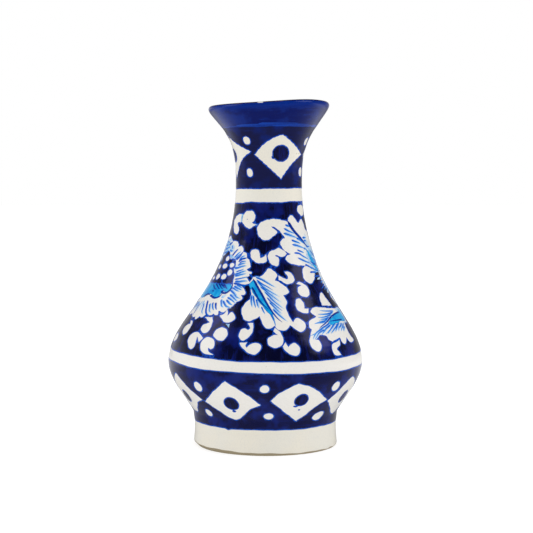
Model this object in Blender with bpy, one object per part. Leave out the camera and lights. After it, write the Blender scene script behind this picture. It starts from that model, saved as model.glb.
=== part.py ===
"""Hand-painted earthenware vase, 203 mm tall, as the four clay sections it is formed from and the three
rings of slip that join them.

The potter forms a foot ring, a bowl pressed in a mould, a shoulder pressed in a second mould and a neck
thrown with its trumpet lip. Each section is stood on the one below with liquid clay (slip) in the joint,
and the whole is then fired as one piece. +Z is up, and the origin is the centre of the resting face.
"""

import math

import bmesh
import bpy

MM = 0.001
SEGMENTS = 56

# Driving dimensions, in millimetres.
HEIGHT = 203.0
FOOT_R = 42.9
FOOT_H = 19.2
FOOT_TOP_R = 42.5
FOOT_BORE_R = 36.2
BELLY_R = 58.0
BELLY_Z = 50.5
NECK_R = 19.5
NECK_Z = 156.0
LIP_R = 35.7

FLOOR_UNDER_Z = 9.0
FLOOR_T = 6.0
BOWL_WALL = 5.4
SHOULDER_WALL = 5.0
NECK_WALL = 4.6
LIP_WALL = 3.8

GAP = 0.3
SLIP_T = 0.6
BELT_Z = 52.4
COLLAR_Z = 148.7
BELT_TONGUE_H = 2.4
COLLAR_TONGUE_H = 1.8

# Hand-made irregularities: the neck leans to +X, the lip rises on one side, the foot edge is rubbed.
LEAN = 2.1
LEAN_FROM_Z = 60.0
LEAN_TO_Z = 130.0
LIP_TILT = 1.2
LIP_BUMP = 0.9
LIP_BUMP_AT = 40.0
LIP_BUMP_WIDTH = 35.0
LIP_LIFT_FROM_Z = 186.0
CHAMFER = 1.0
CHAMFER_LEAST = 0.5
CHAMFER_MOST = 2.4

# The outer wall as knots (height, radius, slope of radius over height), joined by cubic curves.
OUTER_KNOTS = [
    (FOOT_H, FOOT_TOP_R, 0.45),
    (30.5, 49.6, 0.68),
    (BELLY_Z, BELLY_R, 0.0),
    (74.0, 48.8, -0.66),
    (105.0, 30.5, -0.43),
    (NECK_Z, NECK_R, 0.0),
    (187.0, 26.1, 0.63),
    (199.6, LIP_R - 0.4, 0.62),
]


def smooth_step(value):
    """0 below 0, 1 above 1, with a smooth rise between."""
    t = min(max(value, 0.0), 1.0)
    return t * t * (3 - 2 * t)


def outer(z):
    """Radius and slope of the outer wall at height z, from the foot's top to the lip."""
    last = len(OUTER_KNOTS) - 2
    i = next((k for k in range(last) if z <= OUTER_KNOTS[k + 1][0]), last)
    (z0, r0, m0), (z1, r1, m1) = OUTER_KNOTS[i], OUTER_KNOTS[i + 1]
    h = z1 - z0
    t = (z - z0) / h
    radius = (
        (2 * t**3 - 3 * t**2 + 1) * r0
        + (t**3 - 2 * t**2 + t) * h * m0
        + (3 * t**2 - 2 * t**3) * r1
        + (t**3 - t**2) * h * m1
    )
    slope = 6 * (t - t * t) * (r1 - r0) / h + (3 * t * t - 4 * t + 1) * m0 + (3 * t * t - 2 * t) * m1
    return radius, slope


def outer_points(z_low, z_high, count):
    """Points (radius, height) up the outer wall, both ends included."""
    heights = [z_low + (z_high - z_low) * i / (count - 1) for i in range(count)]
    return [(outer(z)[0], z) for z in heights]


def inner_points(z_low, z_high, count, wall_low, wall_high):
    """Points up the inner wall: each outer point moved inwards, square to the wall, by its thickness."""
    points = []
    for i in range(count):
        share = i / (count - 1)
        z = z_low + (z_high - z_low) * share
        radius, slope = outer(z)
        thickness = wall_low + (wall_high - wall_low) * share
        length = math.hypot(1, slope)
        points.append((radius - thickness / length, z + thickness * slope / length))
    return points


def wall_inside(z, thickness):
    """Radius of the inner wall where it crosses height z."""
    radius, slope = outer(z)
    return radius - thickness * math.hypot(1, slope)


def joint_edge(z, r_in, r_out, tongue):
    """The V-shaped edge of a section at a joint, from its outer to its inner corner."""
    return [(r_out, z), ((r_in + r_out) / 2, z + tongue), (r_in, z)]


def centre_x(z):
    """How far the vase's axis has leant to +X at height z."""
    return LEAN * smooth_step((z - LEAN_FROM_Z) / (LEAN_TO_Z - LEAN_FROM_Z))


def lip_lift(angle):
    """How far the lip stands above its mean height, at an angle in degrees from the front (-Y) towards +X."""
    turn = math.radians(angle)
    bump = math.exp(-(((angle - LIP_BUMP_AT) / LIP_BUMP_WIDTH) ** 2))
    return LIP_TILT * math.sin(turn) + LIP_BUMP * bump


def rub(angle):
    """Size of the rubbed edge under the foot, largest at -X."""
    return CHAMFER_LEAST + (CHAMFER_MOST - CHAMFER_LEAST) * (1 - math.sin(math.radians(angle))) / 2


def hand_shape(co):
    """Moves one turned point, in millimetres, to where the hand-made vase has it."""
    radius = math.hypot(co.x, co.y)
    angle = math.degrees(math.atan2(co.x, -co.y))
    if co.z < 1.5 * CHAMFER and radius > FOOT_R - 1.5 * CHAMFER:
        share = rub(angle) / CHAMFER
        smaller = (FOOT_R - (FOOT_R - radius) * share) / radius
        co.x *= smaller
        co.y *= smaller
        co.z *= share
    co.x += centre_x(co.z)
    co.z += lip_lift(angle) * smooth_step((co.z - LIP_LIFT_FROM_Z) / (HEIGHT - LIP_LIFT_FROM_Z))


def ceramic(name, colour, roughness):
    """A Principled material for a fired and glazed section."""
    material = bpy.data.materials.new(name)
    material.use_nodes = True
    shader = material.node_tree.nodes["Principled BSDF"]
    shader.inputs["Base Color"].default_value = (*colour, 1.0)
    shader.inputs["Roughness"].default_value = roughness
    shader.inputs["Metallic"].default_value = 0.0
    material.diffuse_color = (*colour, 1.0)
    return material


def turned(name, profile, material, parent, closed=True):
    """A solid turned about +Z from a profile of (radius, height) points, standing at its lowest point."""
    mesh = bpy.data.meshes.new(name)
    base_z = min(height for radius, height in profile)
    bm = bmesh.new()
    verts = [bm.verts.new((0.0, -radius, height)) for radius, height in profile]
    ends = verts[1:] + verts[:1] if closed else verts[1:]
    edges = [bm.edges.new(pair) for pair in zip(verts, ends)]
    bmesh.ops.spin(
        bm,
        geom=verts + edges,
        axis=(0, 0, 1),
        cent=(0, 0, 0),
        steps=SEGMENTS,
        angle=2 * math.pi,
        use_merge=True,
    )
    bmesh.ops.remove_doubles(bm, verts=bm.verts, dist=1e-4)
    for vert in bm.verts:
        hand_shape(vert.co)
        vert.co.z -= base_z
        vert.co *= MM
    bmesh.ops.recalc_face_normals(bm, faces=bm.faces)
    bm.to_mesh(mesh)
    bm.free()
    mesh.materials.append(material)
    mesh.shade_smooth()
    mesh.set_sharp_from_angle(angle=math.radians(40))
    section = bpy.data.objects.new(name, mesh)
    section.parent = parent
    section.location.z = base_z * MM
    bpy.context.scene.collection.objects.link(section)
    return section


def foot_ring_profile():
    """The thrown ring the vase stands on, with a rubbed outer edge."""
    return [
        (FOOT_BORE_R + 0.5, 0.0),
        (FOOT_R - CHAMFER, 0.0),
        (FOOT_R, CHAMFER),
        (FOOT_R - 0.5, 8.0),
        (FOOT_R - 0.6, 14.0),
        (FOOT_TOP_R, FOOT_H),
        (FOOT_BORE_R, FOOT_H),
        (FOOT_BORE_R, 0.5),
    ]


def lower_bowl_profile():
    """The pressed bowl: its floor hangs inside the foot ring, and its seat rests on the slip above it."""
    seat_z = FOOT_H + 2 * GAP + SLIP_T
    boss_r = FOOT_BORE_R - GAP
    top_z = BELT_Z - GAP - SLIP_T / 2
    floor_top = FLOOR_UNDER_Z + FLOOR_T
    inner = inner_points(29.0, top_z - 2.0, 6, BOWL_WALL, BOWL_WALL)
    inner_top = wall_inside(top_z, BOWL_WALL)
    return [
        (0.0, FLOOR_UNDER_Z),
        (boss_r - 2.0, FLOOR_UNDER_Z),
        (boss_r, FLOOR_UNDER_Z + 2.0),
        (boss_r, seat_z),
        *outer_points(seat_z, top_z, 9)[:-1],
        *joint_edge(top_z, inner_top, outer(top_z)[0], BELT_TONGUE_H),
        *reversed(inner),
        (34.0, floor_top + 5.0),
        (27.0, floor_top + 1.0),
        (16.0, floor_top),
        (0.0, floor_top),
    ]


def shoulder_profile():
    """The pressed shoulder, from the belt up to the collar."""
    low_z = BELT_Z + GAP + SLIP_T / 2
    high_z = COLLAR_Z - GAP - SLIP_T / 2
    low_in = wall_inside(low_z, BOWL_WALL)
    high_in = wall_inside(high_z, NECK_WALL)
    groove = list(reversed(joint_edge(low_z, low_in, outer(low_z)[0], BELT_TONGUE_H)))
    tongue = joint_edge(high_z, high_in, outer(high_z)[0], COLLAR_TONGUE_H)
    inner = inner_points(low_z + 5.0, high_z - 2.0, 13, SHOULDER_WALL, NECK_WALL)
    return [*groove, *outer_points(low_z, high_z, 17)[1:-1], *tongue, *reversed(inner)]


def neck_profile():
    """The thrown neck with its trumpet lip, rounded over at the top."""
    low_z = COLLAR_Z + GAP + SLIP_T / 2
    low_in = wall_inside(low_z, NECK_WALL)
    groove = list(reversed(joint_edge(low_z, low_in, outer(low_z)[0], COLLAR_TONGUE_H)))
    lip_low = OUTER_KNOTS[-1][0]
    roll_r = LIP_WALL / 2
    roll_centre = (LIP_R - roll_r, HEIGHT - roll_r)
    turns = [math.radians(a) for a in range(-15, 166, 20)]
    roll = [(roll_centre[0] + roll_r * math.cos(t), roll_centre[1] + roll_r * math.sin(t)) for t in turns]
    inner = inner_points(low_z + 2.0, lip_low - 2.0, 10, NECK_WALL, LIP_WALL)
    return [*groove, *outer_points(low_z, lip_low, 12)[1:], *roll, *reversed(inner)]


def flat_slip_profile():
    """The washer of slip between the foot ring and the bowl's seat."""
    low = FOOT_H + GAP
    return [
        (FOOT_BORE_R + GAP, low),
        (FOOT_TOP_R - GAP, low),
        (FOOT_TOP_R - GAP, low + SLIP_T),
        (FOOT_BORE_R + GAP, low + SLIP_T),
    ]


def chevron_slip_profile(joint_z, wall, tongue):
    """The V-shaped ring of slip between two sections, set back from the wall's two faces."""
    low = joint_z - SLIP_T / 2
    r_in = wall_inside(joint_z, wall)
    r_out = outer(joint_z)[0]
    corner_rise = tongue * 2 * GAP / (r_out - r_in)
    lower = joint_edge(low + corner_rise, r_in + GAP, r_out - GAP, tongue - corner_rise)
    upper = [(radius, z + SLIP_T) for radius, z in lower]
    return [*reversed(lower), *upper]


def build():
    """Makes the seven pieces from the foot up."""
    for leftover in list(bpy.data.objects):
        bpy.data.objects.remove(leftover, do_unlink=True)
    vase = bpy.data.objects.new("vase", None)
    bpy.context.scene.collection.objects.link(vase)

    white = ceramic("white_glaze", (0.80, 0.79, 0.75), 0.20)
    cobalt = ceramic("cobalt_glaze", (0.012, 0.015, 0.100), 0.18)
    rim_blue = ceramic("rim_glaze", (0.012, 0.028, 0.190), 0.18)
    slip = ceramic("joint_slip", (0.56, 0.45, 0.34), 0.85)

    turned("foot_ring", foot_ring_profile(), white, vase)
    turned("foot_joint_slip", flat_slip_profile(), slip, vase)
    turned("lower_bowl", lower_bowl_profile(), cobalt, vase, closed=False)
    turned("belt_joint_slip", chevron_slip_profile(BELT_Z, BOWL_WALL, BELT_TONGUE_H), slip, vase)
    turned("shoulder", shoulder_profile(), cobalt, vase)
    turned("collar_joint_slip", chevron_slip_profile(COLLAR_Z, NECK_WALL, COLLAR_TONGUE_H), slip, vase)
    turned("neck_and_lip", neck_profile(), rim_blue, vase)


build()
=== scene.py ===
"""The looks of the hand-painted vase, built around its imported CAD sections.

A coat of white glaze covers the clay, and every area of paint is a thin closed film on that coat. Places on
the vase are given as an angle in degrees (0 at the front, positive to the right) and a height or a distance
along the turned profile in millimetres. Outlines are drawn in a flat chart of the wall, in which small shapes
keep their shape, are triangulated there, and are then laid on the wall.
"""

import math
import random

import bpy
import numpy as np
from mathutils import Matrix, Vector
from mathutils.geometry import delaunay_2d_cdt
from mathutils.kdtree import KDTree


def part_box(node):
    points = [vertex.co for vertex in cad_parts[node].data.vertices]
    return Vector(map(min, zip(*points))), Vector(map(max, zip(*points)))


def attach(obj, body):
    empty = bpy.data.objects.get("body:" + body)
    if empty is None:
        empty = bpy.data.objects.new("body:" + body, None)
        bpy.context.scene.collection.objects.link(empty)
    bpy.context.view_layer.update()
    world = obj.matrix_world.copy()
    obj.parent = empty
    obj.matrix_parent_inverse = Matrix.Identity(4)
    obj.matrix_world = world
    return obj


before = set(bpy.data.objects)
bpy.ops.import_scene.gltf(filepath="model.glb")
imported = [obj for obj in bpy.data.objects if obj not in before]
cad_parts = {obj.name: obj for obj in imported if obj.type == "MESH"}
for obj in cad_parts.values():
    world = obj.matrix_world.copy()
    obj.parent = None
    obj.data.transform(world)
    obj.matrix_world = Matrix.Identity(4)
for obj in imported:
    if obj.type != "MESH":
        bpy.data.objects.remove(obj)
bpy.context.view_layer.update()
MM = 0.001

# ---------------------------------------------------------------- sizes, in millimetres, some from the CAD sections


def half_width(node):
    """Half the width of a CAD section along X."""
    low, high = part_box(node)
    return (high.x - low.x) / 2 / MM


FOOT_R = half_width("foot_ring")
BELLY_R = half_width("lower_bowl")
LIP_R = half_width("neck_and_lip")
FOOT_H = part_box("foot_ring")[1].z / MM
TOP_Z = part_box("neck_and_lip")[1].z / MM
UNDER_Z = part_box("lower_bowl")[0].z / MM

HEIGHT = TOP_Z - 1.74  # mean height of the lip; one side stands above it
FLOOR_Z = UNDER_Z + 6.0
LIP_WALL = 3.8
LIP_ROLL_Z = HEIGHT - 3.4  # where the wall goes over into the lip's roll
INNER_TOP_Z = HEIGHT - 5.4
INNER_LOW_Z = 29.0

LEAN = 2.1
LEAN_FROM_Z = 60.0
LEAN_TO_Z = 130.0
LIP_TILT = 1.2
LIP_BUMP = 0.9
LIP_BUMP_AT = math.radians(40.0)
LIP_BUMP_WIDTH = math.radians(35.0)
LIP_LIFT_FROM_Z = 186.0
RUB_LEAST = 0.5
RUB_MOST = 2.4

# The outer wall as knots (height, radius, slope of radius over height), as in the CAD.
OUTER_KNOTS = [
    (FOOT_H, FOOT_R - 0.4, 0.45),
    (30.5, 49.6, 0.68),
    (50.5, BELLY_R, 0.0),
    (74.0, 48.8, -0.66),
    (105.0, 30.5, -0.43),
    (156.0, 19.5, 0.0),
    (187.0, 26.1, 0.63),
    (LIP_ROLL_Z, LIP_R - 0.4, 0.62),
]
FOOT_WALL = [(FOOT_R, 0.0), (FOOT_R - 0.05, 1.6), (FOOT_R - 0.5, 8.0), (FOOT_R - 0.6, 14.0)]
WALL_THICKNESS = [(INNER_LOW_Z, 5.4), (50.0, 5.4), (57.0, 5.0), (147.0, 4.6), (198.0, LIP_WALL)]
FLOOR_CURVE = [(34.0, FLOOR_Z + 5.0), (27.0, FLOOR_Z + 1.0), (16.0, FLOOR_Z), (0.0, FLOOR_Z)]

# Layers, as heights above the clay; past the lip the coat stands a little further off it.
COAT_TOP = 0.13
COAT_UNDER = 0.02
COAT_EXTRA_INSIDE = 0.2
INSIDE_FROM = 4.0
INSIDE_RUN = 8.0
GROUND_TOP = COAT_TOP + 0.07
WASH_TOP = COAT_TOP + 0.05
FILL_TOP = COAT_TOP + 0.10
STROKE_TOP = COAT_TOP + 0.13

# Heights of the painted bands' edges.
FRIEZE_LOW = 14.9
FRIEZE_HIGH = 50.1
SHOULDER_LOW = 58.0
SHOULDER_HIGH = 145.4
NECK_LOW = 153.1
NECK_HIGH = 190.4
RIM_LOW = 189.2
RIM_INSIDE = 8.0  # how far the lip band reaches past the crest, down inside the mouth

CHART_R = 40.0  # radius at which one millimetre in the chart is one on the vase
CHART_LEAST_R = 5.0  # nearer the axis the chart stops narrowing
EDGE_STEP = 0.55
BAND_STEPS = 360
SEAM_POINTS = 58
CLOSEST = 0.45  # filler points keep this far from the outlines
COAT_COLUMNS = 192
COAT_LOW_RINGS = 5.0
COAT_INSIDE_FROM = 4.4
COAT_STEP_OUTSIDE = 1.8
COAT_STEP_INSIDE = 4.5
BACK_TURN = 180  # the second spray, round at the back
BACK_DRIFT = 1.3

# Studio.
LENS = 97.2
SENSOR = 36.0
CAMERA_AT = (0.0007, -0.860, 0.163)
CAMERA_DOWN = 3.76
FLOOR_REACH = 6.0
FLOOR_GLOW = 0.72
SOFTBOX_COLOUR = (0.93, 0.9, 1.0)
SOFTBOX_SIZE = 0.7
SOFTBOX_DISTANCE = 1.4
SOFTBOX_RISE = 38


# ---------------------------------------------------------------- the turned profile


def smooth_step(value):
    """0 below 0, 1 above 1, with a smooth rise between."""
    t = np.clip(value, 0.0, 1.0)
    return t * t * (3 - 2 * t)


def hermite(t, start, end, leave, arrive):
    """The smooth run from start to end, at shares t of the way, with a given slope at each end."""
    return (
        (2 * t**3 - 3 * t**2 + 1) * start
        + (t**3 - 2 * t**2 + t) * leave
        + (3 * t**2 - 2 * t**3) * end
        + (t**3 - t**2) * arrive
    )


def outer(z):
    """Radius and slope of the outer wall at height z."""
    last = len(OUTER_KNOTS) - 2
    i = next((k for k in range(last) if z <= OUTER_KNOTS[k + 1][0]), last)
    (z0, r0, m0), (z1, r1, m1) = OUTER_KNOTS[i], OUTER_KNOTS[i + 1]
    h = z1 - z0
    t = (z - z0) / h
    radius = hermite(t, r0, r1, h * m0, h * m1)
    slope = 6 * (t - t * t) * (r1 - r0) / h + (3 * t * t - 4 * t + 1) * m0 + (3 * t * t - 2 * t) * m1
    return radius, slope


def inner_wall():
    """Points down the inner wall, from under the lip to the floor's edge."""
    heights, walls = zip(*WALL_THICKNESS)
    points = []
    for z in np.arange(INNER_TOP_Z, INNER_LOW_Z, -1.0):
        radius, slope = outer(z)
        thickness = np.interp(z, heights, walls)
        length = math.hypot(1, slope)
        points.append((radius - thickness / length, z + thickness * slope / length))
    return points


def clay_profile():
    """Points from the foot's outer edge up the wall, over the lip and down inside to the middle."""
    wall = [(outer(z)[0], z) for z in np.arange(FOOT_H + 1.2, LIP_ROLL_Z, 1.0)]
    roll_r = LIP_WALL / 2
    turns = np.radians(np.arange(-15, 166, 10))
    roll = [(LIP_R - roll_r + roll_r * math.cos(t), HEIGHT - roll_r + roll_r * math.sin(t)) for t in turns]
    return [*FOOT_WALL, *wall, *roll, *inner_wall(), *FLOOR_CURVE]


def rounded(points, reach, step=0.1):
    """The polyline resampled at an even step and averaged over a short reach, which rounds its corners."""
    points = np.array(points)
    length = np.concatenate([[0], np.cumsum(np.hypot(*np.diff(points, axis=0).T))])
    even = np.arange(0, length[-1], step)
    line = np.stack([np.interp(even, length, points[:, k]) for k in (0, 1)], -1)
    half = int(reach / step)
    window = np.hanning(2 * half + 3)[1:-1]
    window /= window.sum()
    start = 2 * line[0] - line[half:0:-1]
    end = 2 * line[-1] - line[-2 : -half - 2 : -1]
    padded = np.concatenate([start, line, end])
    return np.stack([np.convolve(padded[:, k], window, "valid") for k in (0, 1)], -1)


LINE = rounded(clay_profile(), reach=0.9)
LINE_R = np.maximum(LINE[:, 0], 0.0)
LINE_Z = LINE[:, 1]
LINE_S = np.concatenate([[0], np.cumsum(np.hypot(*np.diff(LINE, axis=0).T))])
TANGENT = np.gradient(LINE, axis=0) / np.linalg.norm(np.gradient(LINE, axis=0), axis=1)[:, None]
NORMAL_R, NORMAL_Z = TANGENT[:, 1], -TANGENT[:, 0]
BEND = np.abs(np.gradient(np.unwrap(np.arctan2(TANGENT[:, 1], TANGENT[:, 0])), LINE_S))
CHART_M = np.concatenate([[0], np.cumsum(np.diff(LINE_S) / np.maximum(LINE_R[1:], CHART_LEAST_R))])
CREST = int(np.argmax(LINE_Z))
CREST_S = LINE_S[CREST]
END_S = LINE_S[-1]


def s_at(z):
    """Distance along the profile to a height on the outer wall."""
    return np.interp(z, LINE_Z[:CREST], LINE_S[:CREST])


def radius_at(s):
    """Radius of the clay at a distance along the profile."""
    return np.interp(s, LINE_S, LINE_R)


def levels(low, high, widest):
    """Distances along the profile from low to high, closer together where it bends more."""
    back, ahead = 0.6, 0.9
    sag = 0.01  # how far a straight step may cut the curve
    least_bend = 0.005
    found = [low]
    while found[-1] < high:
        near = slice(*np.searchsorted(LINE_S, (found[-1] - back, found[-1] + ahead)))
        bend = max(BEND[near].max(), least_bend)
        found.append(found[-1] + min(widest, math.sqrt(8 * sag / bend)))
    return np.array(found[:-1])


# ---------------------------------------------------------------- the hand-made surface


def centre_x(z):
    """How far the vase's axis has leant to +X at height z."""
    return LEAN * smooth_step((z - LEAN_FROM_Z) / (LEAN_TO_Z - LEAN_FROM_Z))


def lip_lift(theta):
    """How far the lip stands above its mean height; theta in radians."""
    turn = (theta + math.pi) % (2 * math.pi) - math.pi
    return LIP_TILT * np.sin(turn) + LIP_BUMP * np.exp(-(((turn - LIP_BUMP_AT) / LIP_BUMP_WIDTH) ** 2))


def unevenness(theta, s):
    """Throwing rings and slow swells of the hand-made wall, fading out at the foot and inside the lip."""
    rings = 0.022 * np.sin(s * 0.83 + 0.7 * np.sin(theta)) + 0.014 * np.sin(s * 1.57 + 2 * theta)
    swells = 0.05 * np.sin(3 * theta + s / 21) + 0.04 * np.sin(5 * theta - s / 13 + 1.0)
    fade = smooth_step((s - 2) / 8) * smooth_step((CREST_S - 2 - s) / 10)
    return (rings + swells) * fade


def place(theta, s, lift):
    """Points on the vase, in millimetres, at angles theta (radians) and distances s, lifted off the clay."""
    lift = lift + COAT_EXTRA_INSIDE * smooth_step((s - CREST_S - INSIDE_FROM) / INSIDE_RUN)
    r = radius_at(s) + lift * np.interp(s, LINE_S, NORMAL_R) + unevenness(theta, s)
    z = np.interp(s, LINE_S, LINE_Z) + lift * np.interp(s, LINE_S, NORMAL_Z)
    x = r * np.sin(theta) + centre_x(z)
    y = -r * np.cos(theta)
    rise = smooth_step((z - LIP_LIFT_FROM_Z) / (HEIGHT - LIP_LIFT_FROM_Z))
    return np.stack([x, y, z + lip_lift(theta) * rise], -1)


def facing(theta, s):
    """Unit normals of the surface."""
    step = 0.4
    along = place(theta, s + step, 0.2) - place(theta, s - step, 0.2)
    turn = step / np.maximum(radius_at(s), 1.0)
    around = place(theta + turn, s, 0.2) - place(theta - turn, s, 0.2)
    normal = np.cross(around, along)
    return normal / np.maximum(np.linalg.norm(normal, axis=1), 1e-9)[:, None]


def rub(theta):
    """Height of the rubbed edge under the foot."""
    return RUB_LEAST + (RUB_MOST - RUB_LEAST) * (1 - np.sin(theta)) / 2


# ---------------------------------------------------------------- mesh helpers


def make_piece(name, points, faces, normals, material, attributes):
    """A smooth-shaded piece from points in millimetres, riding on the vase's one body."""
    mesh = bpy.data.meshes.new(name)
    mesh.from_pydata((points * MM).tolist(), [], faces)
    mesh.shade_smooth()
    for key, values in attributes.items():
        kind = "FLOAT" if values.ndim == 1 else "FLOAT_VECTOR"
        layer = mesh.attributes.new(key, kind, "POINT")
        layer.data.foreach_set("value" if values.ndim == 1 else "vector", values.astype(np.float32).ravel())
    mesh.normals_split_custom_set_from_vertices(normals.tolist())
    mesh.materials.append(material)
    piece = bpy.data.objects.new(name, mesh)
    bpy.context.scene.collection.objects.link(piece)
    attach(piece, "root")
    return piece


def brush_space(theta, s):
    """Texture space that follows the brush round the vase, in millimetres, without a seam."""
    return np.stack([CHART_R * np.cos(theta), CHART_R * np.sin(theta), s], -1)


# ---------------------------------------------------------------- outlines in the chart


def chart(angle, s):
    """Chart point of an angle in degrees and a distance along the profile."""
    return np.stack([np.radians(angle) * CHART_R, np.interp(s, LINE_S, CHART_M) * CHART_R], -1)


def unchart(points):
    """Angles in radians and distances along the profile of chart points."""
    return points[:, 0] / CHART_R, np.interp(points[:, 1] / CHART_R, CHART_M, LINE_S)


def chart_step(point, step):
    """A length in millimetres on the vase as a length in the chart, near a chart point."""
    s = np.interp(point[1] / CHART_R, CHART_M, LINE_S)
    return step * CHART_R / max(float(radius_at(s)), 1.0)


def curve_through(knots, sharp, closed, step=EDGE_STEP):
    """A smooth curve through chart points, with corners at the sharp ones."""
    count = len(knots)
    spans = count if closed else count - 1
    line = []
    for i in range(spans):
        before = knots[i - 1] if closed or i else 2 * knots[0] - knots[1]
        here, there = knots[i], knots[(i + 1) % count]
        after = knots[(i + 2) % count] if closed or i + 2 < count else 2 * there - here
        gap = np.linalg.norm(there - here)
        gap_before, gap_after = np.linalg.norm(here - before), np.linalg.norm(after - there)
        leave = there - here if sharp[i] else (there - before) * gap / (gap + gap_before)
        arrive = there - here if sharp[(i + 1) % count] else (after - here) * gap / (gap + gap_after)
        steps = max(2, math.ceil(gap / chart_step(here, step)))
        t = (np.arange(steps) / steps)[:, None]
        line.append(hermite(t, here, there, leave, arrive))
    if not closed:
        line.append(knots[-1:])
    return np.concatenate(line)


def anticlockwise(loop):
    """The outline, turned round if it runs clockwise."""
    x, y = loop.T
    area = np.sum(x * np.roll(y, -1) - np.roll(x, -1) * y)
    return loop if area > 0 else loop[::-1]


def outward(loop):
    """Unit vectors pointing out of an anticlockwise outline at each of its points."""
    tangent = np.roll(loop, -1, 0) - np.roll(loop, 1, 0)
    tangent /= np.maximum(np.linalg.norm(tangent, axis=1), 1e-9)[:, None]
    return np.stack([tangent[:, 1], -tangent[:, 0]], -1)


def shaky(loop, amount=0.11):
    """The outline with the small tremor of a hand-held brush, in millimetres."""
    loop = anticlockwise(loop)
    length = np.cumsum(np.linalg.norm(loop - np.roll(loop, 1, 0), axis=1))
    phase = loop[0, 0] * 1.7 + loop[0, 1]
    waves = max(3, round(length[-1] / 7))
    turn = 2 * math.pi * length / length[-1]
    tremor = np.sin(waves * turn + phase) + 0.6 * np.sin((2 * waves + 1) * turn + 2 * phase)
    size = np.array([chart_step(p, amount) for p in loop])
    return loop + outward(loop) * (tremor * size)[:, None]


def drifted(point, drift):
    """A motif's (angle, height), strayed a little from its place, so that the sprays differ."""
    angle = point[0] + drift * math.sin(point[1] / 9 + drift)
    return angle, point[1] + drift * 0.6 * math.sin(math.radians(4 * point[0]) + drift)


def chart_knots(points, turn=0.0, drift=0.0):
    """Chart points of (angle, height) points, turned round the vase by some degrees."""
    strayed = [drifted(point, drift) for point in points]
    return np.array([chart(angle + turn, s_at(height)) for angle, height in strayed])


def outline(points, turn=0.0, drift=0.0):
    """A closed painted outline through (angle, height) points; a third value marks a corner."""
    sharp = [len(point) > 2 for point in points]
    return shaky(curve_through(chart_knots(points, turn, drift), sharp, closed=True))


def oval(angle, s, width, height, lean=0.0):
    """A round to oval outline, its half width and half height in millimetres, leaning by some degrees."""
    turns = np.linspace(0, 2 * math.pi, 9)[:-1]
    tilt = math.radians(lean)
    x, y = width * np.cos(turns), height * np.sin(turns)
    along = s + x * math.sin(tilt) + y * math.cos(tilt)
    around = angle + np.degrees((x * math.cos(tilt) - y * math.sin(tilt)) / radius_at(along))
    return shaky(curve_through(chart(around, along), [False] * 8, closed=True), 0.05)


def spot(centre, width, height, lean=0.0):
    """A round to oval dab on the outer wall at a centre (angle, height)."""
    return oval(centre[0], s_at(centre[1]), width, height, lean)


def band(low, high):
    """Outline of a band round the vase between two edges, each a function from theta to a distance."""
    turns = np.linspace(-math.pi, math.pi, BAND_STEPS + 1)
    degrees = np.degrees(turns)
    lower, upper = chart(degrees, low(turns)), chart(degrees, high(turns))
    side = np.linspace(lower[-1, 1], upper[-1, 1], SEAM_POINTS + 2)[1:-1]
    edge = math.pi * CHART_R
    right = np.stack([np.full_like(side, edge), side], -1)
    left = np.stack([np.full_like(side, -edge), side[::-1]], -1)
    return np.concatenate([lower, right, upper[::-1], left])


def wrapped(loops):
    """The outlines, with a copy on the other side of each one that crosses the back seam."""
    seam = math.pi * CHART_R
    result = []
    for loop in loops:
        for shift in (-2 * seam, 0.0, 2 * seam):
            moved = loop + np.array([shift, 0.0])
            if moved[:, 0].max() > -seam and moved[:, 0].min() < seam:
                result.append(moved)
    return result


# ---------------------------------------------------------------- films of paint


def filler_points(loops, spacing):
    """Points in staggered rows over the area of the outlines, evenly spaced on the vase."""
    every = np.concatenate(loops)
    theta, s = unchart(every)
    rows = []
    heights = levels(s.min() + 0.4, s.max(), spacing)
    for k, level in enumerate(heights):
        step = heights[k] - heights[k - 1] if k else spacing
        turn = step * 1.15 / radius_at(level)
        angles = np.arange(theta.min() + turn * (0.5 if k % 2 else 1.0), theta.max(), turn)
        rows.append(chart(np.degrees(angles), np.full_like(angles, level)))
    return np.concatenate(rows) if rows else np.zeros((0, 2))


def tree_of(points):
    """A search tree over points."""
    tree = KDTree(len(points))
    for i, point in enumerate(points):
        tree.insert(point, i)
    tree.balance()
    return tree


def on_vase(points):
    """Places on the vase, in millimetres, of chart points."""
    theta, s = unchart(points)
    return place(theta, s, COAT_TOP)


def beside(loops, gap):
    """Rows of points just inside (negative gap) or outside each outline, to carry the paint's bright rim."""
    rows = []
    for loop in loops:
        offsets = np.array([chart_step(p, gap) for p in loop])
        rows.append(loop + outward(loop) * offsets[:, None])
    return rows


def triangulate(inside, holes, spacing, rim):
    """Chart points and triangles that fill the outlines but not the holes."""
    edges = [*inside, *holes]
    fixed = np.concatenate([*edges, *beside(inside, -rim), *beside(holes, rim)])
    tree = tree_of(on_vase(fixed))
    filler = filler_points(inside, spacing)
    far = [tree.find(p)[2] > CLOSEST for p in on_vase(filler)]
    points = np.concatenate([fixed, filler[np.array(far, bool)]])
    polygons = []
    first = 0
    for loop in edges:
        polygons.append(list(range(first, first + len(loop))))
        first += len(loop)
    only_inside, tolerance = 1, 1e-4
    filled = delaunay_2d_cdt([Vector(p) for p in points], [], polygons, only_inside, tolerance)
    verts, tris, owners = filled[0], filled[2], filled[5]
    kept = [tri for tri, owner in zip(tris, owners) if owner and max(owner) < len(inside)]
    return np.array([tuple(v) for v in verts]), np.array(kept)


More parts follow.
